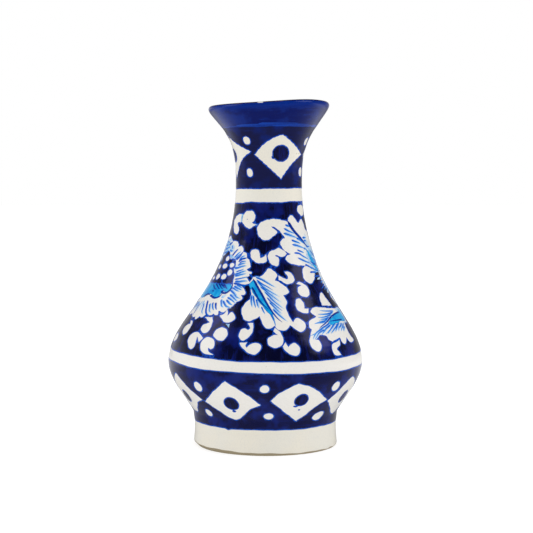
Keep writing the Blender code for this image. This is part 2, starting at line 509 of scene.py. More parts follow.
def weld_seam(points, tris):
    """Joins the film's two ends where it closes round the back."""
    seam = math.pi * CHART_R
    left = np.flatnonzero(np.abs(points[:, 0] + seam) < 1e-3)
    right = np.flatnonzero(np.abs(points[:, 0] - seam) < 1e-3)
    remap = np.arange(len(points))
    if len(left) and len(right):
        gaps = np.abs(points[right, 1][:, None] - points[left, 1][None])
        nearest = gaps.argmin(axis=1)
        close = gaps.min(axis=1) < 1e-2
        remap[right[close]] = left[nearest[close]]
    tris = remap[tris]
    real = (tris[:, 0] != tris[:, 1]) & (tris[:, 1] != tris[:, 2]) & (tris[:, 2] != tris[:, 0])
    return tris[real]


def compact(points, tris):
    """Only the points that the triangles use."""
    used, flat = np.unique(tris, return_inverse=True)
    return points[used], flat.reshape(tris.shape)


def open_edges(tris, count):
    """Directed edges that only one triangle has."""
    pairs = np.concatenate([tris[:, [0, 1]], tris[:, [1, 2]], tris[:, [2, 0]]])
    keys = pairs[:, 0] * count + pairs[:, 1]
    backward = pairs[:, 1] * count + pairs[:, 0]
    return pairs[~np.isin(keys, backward)]


def film(name, inside, holes, material, top, depth=0.1, spacing=1.4, rim=0.55, tint=None):
    """A closed film of paint that fills the outlines but not the holes.

    Its upper side lies at top above the clay, and its underside at depth below that. An extra row of
    points, at rim from every edge, carries the paint's bright rim. The tint is a function from places
    on the vase to values.
    """
    inside = [anticlockwise(loop) for loop in inside]
    holes = [anticlockwise(loop) for loop in holes]
    points, tris = triangulate(inside, holes, spacing, rim)
    points, tris = compact(points, weld_seam(points, tris))
    count = len(points)
    border = open_edges(tris, count)
    theta, s = unchart(points)
    upper = place(theta, s, top)
    normals = facing(theta, s)
    lower = place(theta, s, top - depth)
    tree = tree_of(upper[np.unique(border)])
    edge = np.array([tree.find(p)[2] for p in upper])
    walls = [(b, a, a + count, b + count) for a, b in border.tolist()]
    faces = [*tris.tolist(), *(tris[:, ::-1] + count).tolist(), *walls]
    attributes = {"edge": np.tile(edge, 2), "brush": np.tile(brush_space(theta, s), (2, 1))}
    if tint:
        attributes["tint"] = np.tile(tint(upper), 2)
    points = np.concatenate([upper, lower])
    normals = np.concatenate([normals, -normals])
    return make_piece(name, points, faces, normals, material, attributes)


# ---------------------------------------------------------------- brush strokes


def stroke_ribbon(knots, width, start=0.1):
    """Chart points of a tapering brush stroke: its left edge, middle and right edge, and paint load."""
    spine = curve_through(np.array(knots), [False] * len(knots), closed=False, step=0.8)
    t = np.linspace(0, 1, len(spine))
    taper = np.minimum(t / start, 1.0) ** 0.6 * (1 - t**4) ** 0.7
    tangent = np.gradient(spine, axis=0)
    tangent /= np.maximum(np.linalg.norm(tangent, axis=1), 1e-9)[:, None]
    across = np.stack([-tangent[:, 1], tangent[:, 0]], -1)
    half = np.array([chart_step(p, width / 2) for p in spine]) * np.maximum(taper, 0.1)
    return spine + across * half[:, None], spine, spine - across * half[:, None], 1 - t


def strokes(name, drawing, material, top=STROKE_TOP, depth=0.12):
    """One piece holding many brush strokes, each (chart knots, width in millimetres)."""
    crown = 0.02  # how much higher a stroke is in its middle than along its sides
    points, normals, faces, load, brush = [], [], [], [], []
    total = 0
    for knots, width in drawing:
        left, middle, right, paint = stroke_ribbon(knots, width)
        upper = [(left, top - crown, 1), (middle, top, 1), (right, top - crown, 1)]
        under = [(right, top - depth, -1), (left, top - depth, -1)]
        rings = []
        for row, lift, side in upper + under:
            theta, s = unchart(row)
            rings.append(total)
            total += len(row)
            points.append(place(theta, s, lift))
            normals.append(facing(theta, s) * side)
            load.append(paint)
            brush.append(brush_space(theta, s))
        size = len(middle)
        for a, b in zip(rings, rings[1:] + rings[:1]):
            faces += [(a + i, b + i, b + i + 1, a + i + 1) for i in range(size - 1)]
        faces.append(tuple(rings[::-1]))
        faces.append(tuple(ring + size - 1 for ring in rings))
    points, normals = np.concatenate(points), np.concatenate(normals)
    attributes = {"load": np.concatenate(load), "brush": np.concatenate(brush)}
    return make_piece(name, points, faces, normals, material, attributes)


# ---------------------------------------------------------------- materials


def srgb(red, green, blue):
    """A colour from 0 to 255 as linear values with alpha."""
    values = [c / 255 for c in (red, green, blue)]
    linear = [v / 12.92 if v <= 0.04045 else ((v + 0.055) / 1.055) ** 2.4 for v in values]
    return (*linear, 1.0)


class Nodes:
    """A node tree under construction, with short calls for the nodes it needs."""

    def __init__(self, tree):
        self.tree = tree

    def fill(self, node, inputs):
        """Sets a node's inputs, each to a value or to another node's output."""
        for key, value in inputs.items():
            if isinstance(value, bpy.types.NodeSocket):
                self.tree.links.new(value, node.inputs[key])
            else:
                node.inputs[key].default_value = value

    def node(self, kind, inputs=None, **settings):
        """A new node with its settings and inputs."""
        made = self.tree.nodes.new(kind)
        for key, value in settings.items():
            setattr(made, key, value)
        self.fill(made, inputs or {})
        return made

    def axis(self, vector, name):
        """The X, Y or Z of a vector."""
        return self.node("ShaderNodeSeparateXYZ", {0: vector}).outputs[name]

    def span(self, value, low, high, to_low=0.0, to_high=1.0):
        """The value mapped smoothly from one range to another."""
        inputs = {"Value": value, "From Min": low, "From Max": high, "To Min": to_low, "To Max": to_high}
        return self.node("ShaderNodeMapRange", inputs, interpolation_type="SMOOTHSTEP").outputs[0]

    def combine(self, operation, a, b):
        """Two values put together by a maths operation."""
        return self.node("ShaderNodeMath", {0: a, 1: b}, operation=operation).outputs[0]

    def times(self, a, b):
        """The product of two values."""
        return self.combine("MULTIPLY", a, b)

    def choose(self, ray, otherwise, then):
        """One surface or light for a kind of ray and another for all other rays."""
        share = self.node("ShaderNodeLightPath").outputs[ray]
        return self.node("ShaderNodeMixShader", {0: share, 1: otherwise, 2: then}).outputs[0]


class Shader(Nodes):
    """A Principled material under construction."""

    def __init__(self, name):
        self.material = bpy.data.materials.new(name)
        self.material.use_nodes = True
        super().__init__(self.material.node_tree)
        self.surface = self.tree.nodes["Principled BSDF"]

    def attribute(self, name, output="Fac"):
        """A value stored on the mesh."""
        return self.node("ShaderNodeAttribute", attribute_name=name).outputs[output]

    def position(self):
        """Position on the vase in millimetres."""
        coords = self.node("ShaderNodeTexCoord").outputs["Object"]
        return self.node("ShaderNodeVectorMath", {0: coords, "Scale": 1 / MM}, operation="SCALE").outputs[0]

    def stretched(self, vector, around, along):
        """Brush space squeezed by one factor round the vase and another along it."""
        scale = (around, around, along)
        return self.node("ShaderNodeVectorMath", {0: vector, 1: scale}, operation="MULTIPLY").outputs[0]

    def noise(self, vector, scale, detail=2.0, roughness=0.5):
        """Soft noise from 0 to 1."""
        inputs = {"Vector": vector, "Scale": scale, "Detail": detail, "Roughness": roughness}
        return self.node("ShaderNodeTexNoise", inputs).outputs["Fac"]

    def patches(self, scale, detail, roughness, *limits):
        """Noise over the vase, drawn out to the given limits."""
        return self.span(self.noise(self.position(), scale, detail, roughness), *limits)

    def mix(self, share, first, second):
        """A blend of two colours."""
        inputs = {0: share, 6: first, 7: second}
        return self.node("ShaderNodeMix", inputs, data_type="RGBA").outputs[2]

    def finish(self, colour, roughness, height, relief):
        """Sets the surface's colour, roughness and fine relief, and returns the material."""
        bump = self.node("ShaderNodeBump", {"Height": height, "Strength": 1.0, "Distance": relief * MM})
        self.fill(self.surface, {"Base Color": colour, "Roughness": roughness, "Normal": bump.outputs[0]})
        return self.material

    def glazed(self, colour, sheen=(1.0, 1.0, 1.0, 1.0), index=1.5, dull=(0.10, 0.17)):
        """Finishes a glaze: slow ripples, a little orange peel, duller patches and tinted reflections."""
        self.fill(self.surface, {"IOR": index, "Specular Tint": sheen})
        roughness = self.patches(0.12, 3.0, 0.5, 0.35, 0.7, *dull)
        ripples = self.noise(self.position(), 0.16, 2.0, 0.4)
        peel = self.noise(self.position(), 1.1, 1.0, 0.5)
        height = self.combine("ADD", ripples, self.times(peel, 0.12))
        return self.finish(colour, roughness, height, 0.02)


def specks(shader, cell, size, share):
    """Scattered round specks: 1 inside a speck, 0 elsewhere."""
    cells = shader.node("ShaderNodeTexVoronoi", {"Vector": shader.position(), "Scale": 1 / cell})
    pick = shader.node("ShaderNodeSeparateColor", {0: cells.outputs["Color"]}).outputs[0]
    near = shader.span(cells.outputs["Distance"], size / cell, 0.5 * size / cell)
    return shader.times(near, shader.combine("LESS_THAN", pick, share))


def white_base(shader):
    """The colour of the white glaze: warm white, greyer and cooler in patches, with sparse iron specks."""
    patches = shader.patches(0.045, 3.0, 0.5, 0.35, 0.68)
    cool = shader.mix(patches, srgb(232, 229, 222), srgb(230, 228, 223))
    warm = shader.mix(patches, srgb(231, 226, 212), srgb(228, 225, 214))
    height = shader.axis(shader.position(), "Z")
    above = shader.span(height, 120.0, 150.0)
    below = shader.span(height, 24.0, 14.0)
    colour = shader.mix(shader.combine("MAXIMUM", above, below), cool, warm)
    colour = shader.mix(shader.patches(0.5, 4.0, 0.6, 0.55, 0.8, 0.0, 0.35), colour, srgb(220, 217, 207))
    colour = shader.mix(shader.patches(1.3, 3.0, 0.7, 0.45, 0.75, 0.0, 0.5), colour, srgb(214, 212, 206))
    colour = shader.mix(shader.times(specks(shader, 7.0, 0.22, 0.3), 0.55), colour, srgb(120, 100, 84))
    return shader.mix(shader.times(specks(shader, 13.0, 0.35, 0.22), 0.5), colour, srgb(110, 140, 190))


def white_glaze():
    """Glossy white glaze."""
    shader = Shader("white_glaze_coat")
    return shader.glazed(white_base(shader))


def cobalt_colour(shader, deep, bright, rim_colour, streaks, upright=False):
    """Deep blue with brighter patches and brush streaks, and a bright rim where the paint is thin."""
    patches = shader.patches(0.07, 3.0, 0.55, 0.47, 0.64)
    across, along = (0.4, 0.06) if upright else (0.055, 0.42)
    brushed = shader.stretched(shader.attribute("brush", "Vector"), across, along)
    strands = shader.span(shader.noise(brushed, 1.0, 5.0, 0.62), 0.49, 0.71, 0.0, streaks)
    colour = shader.mix(shader.combine("MAXIMUM", shader.times(patches, 0.65), strands), deep, bright)
    reach = shader.patches(0.7, 3.0, 0.6, 0.3, 0.7, 0.55, 1.05)
    near = shader.span(shader.combine("DIVIDE", shader.attribute("edge"), reach), 1.0, 0.55)
    return shader.mix(near, colour, rim_colour)


def cobalt(name, deep, bright, rim_colour, streaks, upright=False, index=1.68):
    """Glossy cobalt brushwork."""
    shader = Shader(name)
    colour = cobalt_colour(shader, deep, bright, rim_colour, streaks, upright)
    return shader.glazed(colour, (0.6, 0.62, 1.0, 1.0), index, (0.15, 0.23))


def rim_cobalt():
    """The lip band's cobalt: streaky, with a painted highlight over the roll of the lip, dark and brownish on
    the crest.
    """
    shader = Shader("rim_blue")
    colour = cobalt_colour(shader, srgb(8, 20, 90), srgb(12, 42, 128), srgb(14, 52, 140), 0.75)
    along = shader.axis(shader.attribute("brush", "Vector"), "Z")
    # painted highlight: the roll of the lip is mixed towards a brighter blue
    roll = shader.times(shader.span(along, CREST_S - 6.0, CREST_S - 3.2), 0.6)
    colour = shader.mix(roll, colour, srgb(4, 46, 140))
    colour = shader.mix(shader.span(along, CREST_S - 1.9, CREST_S - 1.0), colour, srgb(10, 14, 58))
    worn = shader.patches(0.3, 3.0, 0.6, 0.5, 0.62, 0.0, 0.5)
    crest = shader.times(shader.span(along, CREST_S - 1.9, CREST_S - 1.2), worn)
    return shader.glazed(shader.mix(crest, colour, srgb(84, 50, 58)), (0.6, 0.72, 1.0, 1.0))


def wash_blue():
    """Watery blue over the white glaze, as strong as the tint stored on the mesh."""
    shader = Shader("pale_blue_wash")
    puddle = shader.patches(0.35, 4.0, 0.6, 0.3, 0.75, -0.25, 0.25)
    wet = shader.combine("ADD", shader.attribute("tint"), puddle)
    colour = shader.mix(shader.span(wet, 0.15, 0.85), white_base(shader), srgb(126, 184, 228))
    return shader.glazed(shader.mix(shader.span(wet, 0.7, 1.15), colour, srgb(70, 140, 208)))


def turquoise():
    """Turquoise, thinner and paler where the brush was dry and with a darker rim."""
    shader = Shader("turquoise_brushwork")
    pool = shader.patches(0.22, 3.0, 0.6, 0.35, 0.7)
    colour = shader.mix(pool, srgb(2, 138, 210), srgb(36, 174, 228))
    near = shader.times(shader.span(shader.attribute("edge"), 0.5, 0.05), 0.6)
    return shader.glazed(shader.mix(near, colour, srgb(4, 100, 178)), (0.6, 0.85, 1.0, 1.0))


def stroke_paint(name, loaded, dry):
    """Brush-stroke paint, dark where the brush was loaded and lighter where it ran dry."""
    shader = Shader(name)
    grain = shader.noise(shader.position(), 1.2, 3.0, 0.6)
    share = shader.combine("ADD", shader.attribute("load"), shader.combine("SUBTRACT", grain, 0.5))
    colour = shader.mix(shader.span(share, 0.1, 0.9), dry, loaded)
    return shader.glazed(colour, (0.6, 0.8, 1.0, 1.0))


def bare_clay(name, colour):
    """Unglazed fired clay with dark and pale grog."""
    shader = Shader(name)
    body = shader.mix(shader.noise(shader.position(), 0.25, 4.0), colour, srgb(148, 134, 108))
    grog = shader.times(shader.patches(2.4, 3.0, 0.7, 0.6, 0.75), 0.5)
    grain = shader.noise(shader.position(), 1.8, 5.0, 0.65)
    return shader.finish(shader.mix(grog, body, srgb(104, 92, 72)), 0.82, grain, 0.08)


# ---------------------------------------------------------------- motifs: (angle, height[, 1 at a corner])

# One spray of flowers covers half of the shoulder.
BIG_FLOWER = [
    (-76.4, 124), (-71, 125.2), (-66, 123.8), (-62, 123), (-58.7, 121.8, 1), (-56.5, 122.4), (-52, 122.4),
    (-47, 121.6), (-44.2, 120.3), (-44.8, 119.3, 1), (-42.2, 119.2), (-40, 119.9), (-37, 119.3),
    (-34.2, 117.2), (-34.5, 116.5, 1), (-30.8, 116.1), (-28, 114.9), (-26.8, 113, 1), (-24.2, 112.1),
    (-21.6, 110.3), (-20.6, 108.1), (-22.2, 107.2), (-24.2, 106.5, 1), (-21, 105.4), (-17.4, 104.8),
    (-18.1, 103.9), (-20.1, 104.1, 1), (-19.8, 103), (-23.1, 102.4, 1), (-20.6, 101), (-18.1, 98.9),
    (-21.2, 98), (-26.4, 97.1, 1), (-23.2, 96.2), (-20.1, 93.8), (-20.7, 92.4), (-23.6, 92.1, 1),
    (-21.4, 90.7), (-23, 89.3), (-26.4, 88, 1), (-28, 86.2), (-31.9, 84.6, 1), (-32.9, 83.1),
    (-35.9, 81.4), (-39.6, 82.8, 1), (-38.6, 80.9), (-41, 80.7), (-43.3, 81.3, 1), (-44.7, 80.4),
    (-47.7, 80.1), (-50.6, 80.9, 1), (-52.6, 79.2), (-55, 78.4), (-57.6, 79.1, 1), (-60.5, 77.1),
    (-62.5, 77.3), (-64.2, 78.3, 1), (-68.5, 78), (-74, 79.6, 1), (-80, 78.6), (-86, 79.6, 1),
    (-92, 80.6), (-97, 85, 1), (-102, 88), (-103, 94, 1), (-107, 98), (-105.5, 104, 1), (-107, 109),
    (-102, 113, 1), (-101, 118), (-94, 120, 1), (-90, 124), (-83, 123.2, 1), (-80, 124.6),
]
COMMA_AND_HIGH_LEAF = [
    (30.5, 133.9, 1), (20, 134.9), (8, 135.6), (-4, 134.9), (-12.5, 133.5), (-17.5, 130.5), (-15, 126.2),
    (-8.8, 123.8), (-2, 123.4), (5, 125.2), (10, 126.9), (13, 128, 1), (8.8, 129.4), (2.4, 131.6, 1),
    (10, 130.5), (17, 128.1), (23.5, 124.4, 1), (18.8, 123.8), (15.9, 121.9), (18.5, 118.6), (24, 116.3),
    (29.5, 115.1, 1), (24, 114.5), (21.4, 112.2), (25, 110.4), (33, 109.1), (45, 108.3), (50, 108.6, 1),
    (60, 107), (72, 105.6), (82, 104, 1), (86, 112), (84, 122, 1), (78, 128), (71, 128.4, 1), (68, 132),
    (64, 134.8), (59, 135), (54, 133.3), (51.5, 133.1), (47, 134.7), (42, 137), (36, 137.5),
    (32.4, 136.1),
]
MIDDLE_LEAF = [
    (-15.4, 102.3, 1), (-8, 102.7), (-3.5, 104.4), (-1.2, 106.5), (0.6, 107.3), (5, 106.3), (8.5, 104.9),
    (9.8, 103), (7.4, 100.6, 1), (12.7, 99.1), (18.5, 96.3), (20.4, 93.7), (14.7, 92.2, 1), (17, 88.8),
    (15.5, 85.6, 1), (16.8, 81.5), (19.6, 77.4, 1), (22.6, 79.6), (26.2, 78.7), (28.5, 75.8),
    (26.6, 73), (23.2, 72.3), (19.6, 74.1), (16.7, 76, 1), (14.6, 74), (12, 73.1), (8.4, 73.7),
    (5.9, 75.9, 1), (3.4, 74.3), (0, 74.8), (-3, 78), (-4.6, 81, 1), (-8.2, 79.3), (-12, 78.2),
    (-16.6, 79.6), (-19.5, 84.5), (-17.8, 87.8), (-13.9, 90.1, 1), (-14, 92.8), (-16.2, 96.6),
    (-17.8, 98.6), (-16.8, 100.6),
]
LOW_FLOWER = [
    (40, 79.8, 1), (37, 81.7), (36.4, 83), (40, 84.6), (46.9, 84.6), (56, 83.7), (68, 82.8), (80.1, 82.3),
    (82, 78), (78, 74.2), (71, 74.2, 1), (69.4, 71), (69.9, 66.4), (72, 64.6), (67.6, 63.4),
    (63.8, 64.4), (62.3, 66.7, 1), (59.7, 64.5), (56.6, 63.5), (54.6, 65), (54.4, 67, 1), (50.8, 65.8),
    (46.4, 65.4), (43.3, 66.9), (42.3, 69), (38, 69.8), (34.8, 68.8), (32.6, 67.4, 1), (35.2, 67.1),
    (36, 64.6), (34.6, 61.8), (31.8, 61.2), (28.9, 63.4), (28.3, 67), (30.3, 70.7), (32.4, 73.1, 1),
    (30.8, 74.6), (32.3, 77.5), (36.2, 78.7),
]
SMALL_MOTIFS = [
    # the comma and the lumpy bud over the flower
    [(-70.4, 133.6), (-68, 135.5), (-62.5, 137.2), (-55, 138.2), (-49.5, 138.3, 1), (-48.7, 136),
     (-49.3, 133.4, 1), (-54, 133.5), (-57.8, 132.6, 1), (-53, 130.7), (-50.8, 128.2), (-53.4, 126.6),
     (-60, 126.9), (-66.4, 129.3)],
    [(-47, 134.3), (-44.7, 138), (-40, 139.8), (-33, 140.3), (-26, 139.9), (-22.4, 137.6),
     (-22.6, 135.2), (-27, 133.4, 1), (-20, 132.3, 1), (-24.2, 131.2), (-30.5, 129.9), (-36.2, 130.7),
     (-43.3, 132.6)],
    # two hooks and a dab between comma and leaf
    [(-23.4, 116.4), (-20.5, 117.9), (-15, 117.9), (-11.2, 116), (-10.4, 113.1, 1), (-6.9, 113.6),
     (-3, 115.1, 1), (-1.8, 111.7), (-6, 110.3), (-13, 110.4), (-19.6, 112.2), (-23, 114.8)],
    [(-0.6, 114.2), (0.9, 116.5), (6.9, 117.7), (13.4, 118.8), (18.8, 117.6), (24.1, 115.5, 1),
     (19.1, 114), (15, 113.7), (11, 114.8), (8, 114.6, 1), (12, 113.3), (13, 111), (10.6, 108.6),
     (5, 109.2), (0.8, 111.6)],
    [(11.7, 103.4, 1), (16, 101.9), (20, 101), (21.5, 102.2), (18.4, 105.3, 1), (23, 105.3),
     (27.4, 103.2), (28.6, 100.8), (25.2, 98.9), (20, 98.3), (15, 99.7), (11.3, 100.8, 1)],
    # beads and commas round the low flower
    [(29.6, 98.3, 1), (33.8, 99.3), (38.5, 98), (42.4, 95.4), (41.8, 92.6), (37.3, 90.7), (31.8, 91.6),
     (29.3, 94.1), (31, 96.4), (35.1, 97.2, 1)],
    [(31.2, 84.6, 1), (35.5, 84.5, 1), (33.6, 82.2), (29.4, 82.1), (25.5, 83.7), (24.2, 86.6),
     (26.2, 89.7), (29.6, 90), (32.1, 88), (32, 86)],
    [(51.5, 85.5, 1), (52.3, 88.8), (56, 91.9), (60.3, 92.1), (62.7, 88.9), (65.9, 84.7, 1), (60, 84.8)],
    [(40.4, 101.9), (41.6, 105.6), (46.4, 107.9), (52, 107.6), (60, 105.8), (68, 105, 1), (68, 104.2, 1),
     (52.8, 104, 1), (62.2, 103.4, 1), (56.8, 100.3), (50, 98.2), (45, 98.4), (41.4, 100.1)],
    [(53.8, 140.2), (57.6, 143), (68, 143.5), (79, 142.6), (82, 140), (74, 137.6), (64, 137.2)],
    # small commas over the belt
    [(-12.7, 77.1, 1), (-8.7, 77.3, 1), (-8.3, 73.9), (-10, 70.3), (-13.7, 67.8), (-17, 69.8),
     (-16.8, 73.2), (-14.2, 74.3), (-11.8, 73.5), (-10.6, 74.4, 1), (-11.2, 75.6)],
    [(-15.7, 66.5, 1), (-11, 67.1, 1), (-11.9, 65.1), (-11, 63.9, 1), (-9.4, 65.8), (-5.6, 66.8),
     (-2.5, 65), (-3.6, 62), (-6.2, 60.5), (-11, 61.9), (-14.8, 65)],
    [(6.1, 74.8, 1), (4.9, 73, 1), (7.9, 70.9, 1), (4.9, 70.8), (1.6, 69), (2, 65.8), (5.4, 63.9),
     (9.4, 65.2), (11.3, 68.2), (9.6, 72.2)],
    [(10.4, 64.9, 1), (12.3, 67, 1), (13.9, 64.1, 1), (15.8, 65.9), (18.2, 66.5), (20.6, 64.4),
     (20.2, 60.9), (17.6, 59.4), (13.8, 60.9), (11.1, 63.4)],
    [(52.8, 66.3, 1), (49.4, 65.2), (45.2, 64.5), (43.6, 61.4), (45, 58.1), (50.3, 57.8, 1),
     (49, 59.5), (47.7, 61.2), (49.4, 62.4), (52, 63.4)],
    [(-35.6, 70.4), (-34.4, 73), (-30.6, 74.2), (-26.6, 73.3), (-25.1, 70.8), (-26.8, 67.6),
     (-30, 67.2), (-34.2, 69)],
    [(-50.9, 78.9, 1), (-46, 79.2), (-42.8, 79.5, 1), (-40.6, 76.6), (-40, 72.6), (-43.2, 70.5),
     (-47.9, 71.8), (-48.4, 74.5), (-43, 76.5, 1), (-47, 77.8)],
    [(-67.8, 75.9, 1), (-63.9, 75.8), (-61.4, 73.4), (-62.6, 69.4), (-66.4, 67.8), (-70.8, 70.2),
     (-69.6, 73), (-64.6, 74.3, 1)],
    [(-56.7, 66.3), (-55.2, 69.4), (-51, 70.6), (-46.4, 69.6), (-42.8, 67.9, 1), (-45.1, 65.4, 1),
     (-48.7, 68.3, 1), (-47.9, 65.7), (-47.8, 62.4), (-50.6, 61.2), (-54.6, 63.3)],
    [(-43.2, 64.8), (-41.2, 67.8), (-37.4, 68.6), (-33.2, 67), (-32.4, 63.2), (-34, 62.2, 1),
     (-36.2, 62.9, 1), (-34.9, 60.7), (-31.2, 59.4, 1), (-36.6, 59.3), (-41, 61.1)],
    [(-36.8, 80.5, 1), (-33.6, 81.3), (-32.2, 84.4, 1), (-30.9, 83), (-29.8, 80.7, 1), (-27.4, 82.9),
     (-24.6, 81.4), (-22.9, 79.5), (-25, 77.5), (-29.8, 77.1), (-33.4, 78.6)],
    [(-84, 65), (-80, 67.3), (-75, 66.9), (-73.6, 65), (-78, 62.9), (-82, 63)],
]
SEED_HEAD = [
    (-88, 97.4, 1), (-91, 103), (-87, 108.5), (-80, 112.3), (-71, 114.3), (-63, 116.6), (-58, 115.4),
    (-55.2, 113, 1), (-52.1, 111.9), (-47, 112.5), (-42.4, 111.4), (-40.4, 109), (-41.6, 106.6, 1),
    (-38, 103.4), (-36.7, 100), (-36.4, 97.8, 1), (-60, 97.4),
]
SEEDS = [
    (-46.4, 108.5, 1.9, 1.4), (-45.7, 104.3, 1.95, 1.9), (-53, 101.7, 2.5, 1.75), (-59.3, 112, 2, 1.5),
    (-59.3, 107.7, 2.7, 1.55), (-73.1, 106.9, 2.1, 1.35), (-64.8, 101.4, 2.3, 1.8), (-75.3, 100.2, 2.3, 1),
    (-79, 111.3, 1.6, 1.3), (-87, 103.2, 2, 1.3),
]
CUP = [
    (-88, 97, 1), (-60, 97.7), (-41, 98.2), (-37.5, 98), (-36.6, 96.2), (-39.5, 93.3), (-44.8, 94, 1),
    (-46.6, 90.8), (-52, 90), (-58, 91.2), (-64.5, 91.2), (-72, 88.8), (-88, 88.6, 1),
]
LOW_FLOWER_HEART = [
    (48.8, 76, 1), (57.5, 78.7), (67.1, 80.3), (76.7, 80.3), (76.7, 75.3), (67.1, 75.5), (55, 74.6),
    (52, 74.4, 1),
]
MIDDLE_LEAF_HEART = [
    (-17.8, 97.8), (-16.4, 100), (-14.6, 100.6), (-13, 99.6), (-10, 97.2), (-5, 93.2), (-1.5, 89.7),
    (1.5, 86.6), (4.8, 82.8), (6.2, 78.8, 1), (3.4, 81.2), (0, 83.8), (-5, 87.6), (-10, 91.4), (-14, 94.4),
]
HIGH_LEAF_HEART = [
    (56.8, 118, 1), (61.3, 116.8), (65.5, 114.2), (70.5, 110.6), (76, 107), (78, 104.4, 1), (70, 105),
    (65, 107.6), (62, 111.4), (59.4, 115),
]

# Brush strokes of one spray, as lines of (angle, height).
PETAL_PARTINGS = [
    [(-51.2, 113.8), (-48, 115.8), (-45, 117.3), (-43.4, 117.7)],
    [(-42, 111.6), (-39.5, 112.7), (-36.8, 114.3), (-35.5, 115.6), (-34.2, 116.5)],
    [(-37.6, 110.6), (-35.3, 111.6), (-32.6, 112.4), (-29.7, 112.7), (-26.8, 113.1)],
    [(-35.5, 98.5), (-32.4, 98.3), (-29, 98), (-25.8, 97.6), (-21.8, 97.6), (-19.2, 98.4)],
    [(-59.5, 88), (-57.6, 86.4), (-55.6, 84.4), (-54.2, 82.8), (-51.4, 80.9), (-49, 80.1), (-45.6, 79.8)],
    [(-47, 87.2), (-45.6, 86.1), (-44.2, 84.7), (-42, 83.3)],
    [(-39.4, 82.8), (-36.4, 81.9), (-33.1, 82.2)],
    [(-52.6, 78.8), (-50.6, 79.4)],
    [(-67.3, 120.4), (-64.8, 120.4), (-61.6, 121), (-59, 121.8)],
    [(46, 65.3), (49.3, 65.8), (52, 66.4), (53.9, 67.2)],
]
PETAL_VEINS = [
    [(-45.5, 113), (-43, 114.5), (-40.5, 115.6), (-38.6, 116.2)],
    [(-43.7, 111.9), (-41, 113.5), (-39, 114.5), (-37, 115.1)],
    [(-36.8, 111.6), (-33.7, 113.5), (-30.8, 114)],
    [(-35.5, 109.8), (-32.4, 110.8), (-29.5, 111), (-27.6, 111.1)],
    [(-36.8, 108.7), (-33.7, 109.3), (-30.5, 109.8), (-27.9, 110)],
    [(-40.5, 107.2), (-36.8, 107.2), (-33.7, 107.7), (-30.3, 108.2), (-27.1, 108.5)],
    [(-36.3, 105), (-33.2, 105.6), (-30.3, 106.1), (-28.4, 106.6)],
    [(-37.1, 103.7), (-33.7, 104), (-30.3, 104.8), (-25.8, 105.6)],
    [(-36.3, 102.8), (-33.7, 102.9), (-29.7, 103.5), (-25, 104)],
    [(-35, 100.8), (-31, 101.1), (-27.1, 101.6), (-21.8, 102.2)],
    [(-33.7, 99.7), (-29.7, 99.5), (-25.8, 99.9), (-21.8, 100)],
    [(-30.9, 97.8), (-27.6, 96.9), (-24.8, 96.1)],
    [(-33.1, 96.9), (-30.3, 96.1), (-27.6, 95.6), (-24.8, 95)],
    [(-34.8, 95.8), (-32.3, 95.4), (-29.8, 94.7), (-27, 94.2)],
    [(-35.9, 94.4), (-33.1, 93.6), (-30.3, 92.5), (-27.6, 91.1), (-24.8, 90.6)],
    [(-34.5, 91.9), (-31.7, 91.1), (-28.9, 90), (-26.4, 88.9)],
    [(-35.9, 90.3), (-33.1, 89.7), (-30.3, 88.9), (-27.6, 87.8)],
    [(-36.2, 89), (-33.9, 88.1), (-31.7, 87.2), (-29.5, 86.7)],
    [(-39.2, 88.3), (-37, 87.2), (-35, 86.1), (-33.1, 85.6), (-30.3, 85.3)],
    [(-42, 88.9), (-40.6, 87.5), (-39.2, 86.1), (-37.3, 85.3)],
    [(-50, 87), (-48.7, 85.5), (-47, 84.2), (-45.3, 83.3)],
    [(-53.1, 86.1), (-51.4, 84.4), (-49.8, 82.8), (-47.6, 82)],
    [(-62.3, 85.6), (-60.9, 84.4), (-58.9, 82), (-56.4, 80.8)],
    [(-77.6, 117.7), (-73.3, 117.5), (-69, 117.9), (-65.8, 118.5), (-62.6, 118.2)],
    [(-80, 119.6), (-74, 119.5), (-69, 119.8)],
    [(-78, 122), (-73, 121.5), (-67, 121.5)],
    [(-76, 115), (-70, 115.6), (-65, 116.6)],
    [(-57.7, 119.6), (-56, 118.5), (-54, 117.7)],
    [(-59.9, 117.1), (-56.2, 116.6), (-53, 116.8)],
]
PETAL_SHADES = [
    [(-71.2, 122.9), (-68, 122.7), (-64.8, 122.1)],
    [(-56, 114.4), (-51, 113), (-45.5, 112.7), (-41.6, 111.1)],
    [(-41.3, 108.8), (-41.2, 107.2), (-39.6, 105.6)],
    [(-65, 87.6), (-64.2, 84.6), (-63.4, 81.4)],
    [(-68.6, 87), (-68.6, 84.4), (-67.8, 81)],
    [(-73, 86.6), (-73.6, 83.6), (-73.4, 80.8)],
    [(-43.5, 90.4), (-41, 90.8), (-38.8, 92.1)],
]
CUP_HATCHING = [
    [(-64.5, 96.7), (-61.4, 95.6), (-58.1, 94.7), (-55.3, 94.6)],
    [(-60, 97.2), (-56.4, 96.4), (-53.1, 95.3), (-50.3, 94.9)],
    [(-55.3, 97.5), (-52, 96.7), (-49, 95.6), (-46.4, 95)],
    [(-51.4, 97.5), (-48.4, 96.8), (-46.2, 96.1), (-44.2, 95.6)],
    [(-47.6, 97.5), (-44.8, 96.7), (-42.6, 95.8), (-41.2, 95.3)],
    [(-60.9, 93.4), (-57.4, 93.2)],
]
CUP_EDGE = [
    [(-72, 89.5), (-69.2, 90.3), (-65, 91.3), (-61, 91)],
    [(-60.4, 90.7), (-56.4, 90.3), (-54.2, 89.9), (-51.2, 89.7), (-48.4, 90), (-45.6, 90.8), (-44.2, 92.4)],
    [(-47, 93.6), (-44, 92.8), (-40, 92.9), (-37.8, 93.9), (-36.3, 95.2), (-35.8, 97), (-36.2, 98.6)],
]
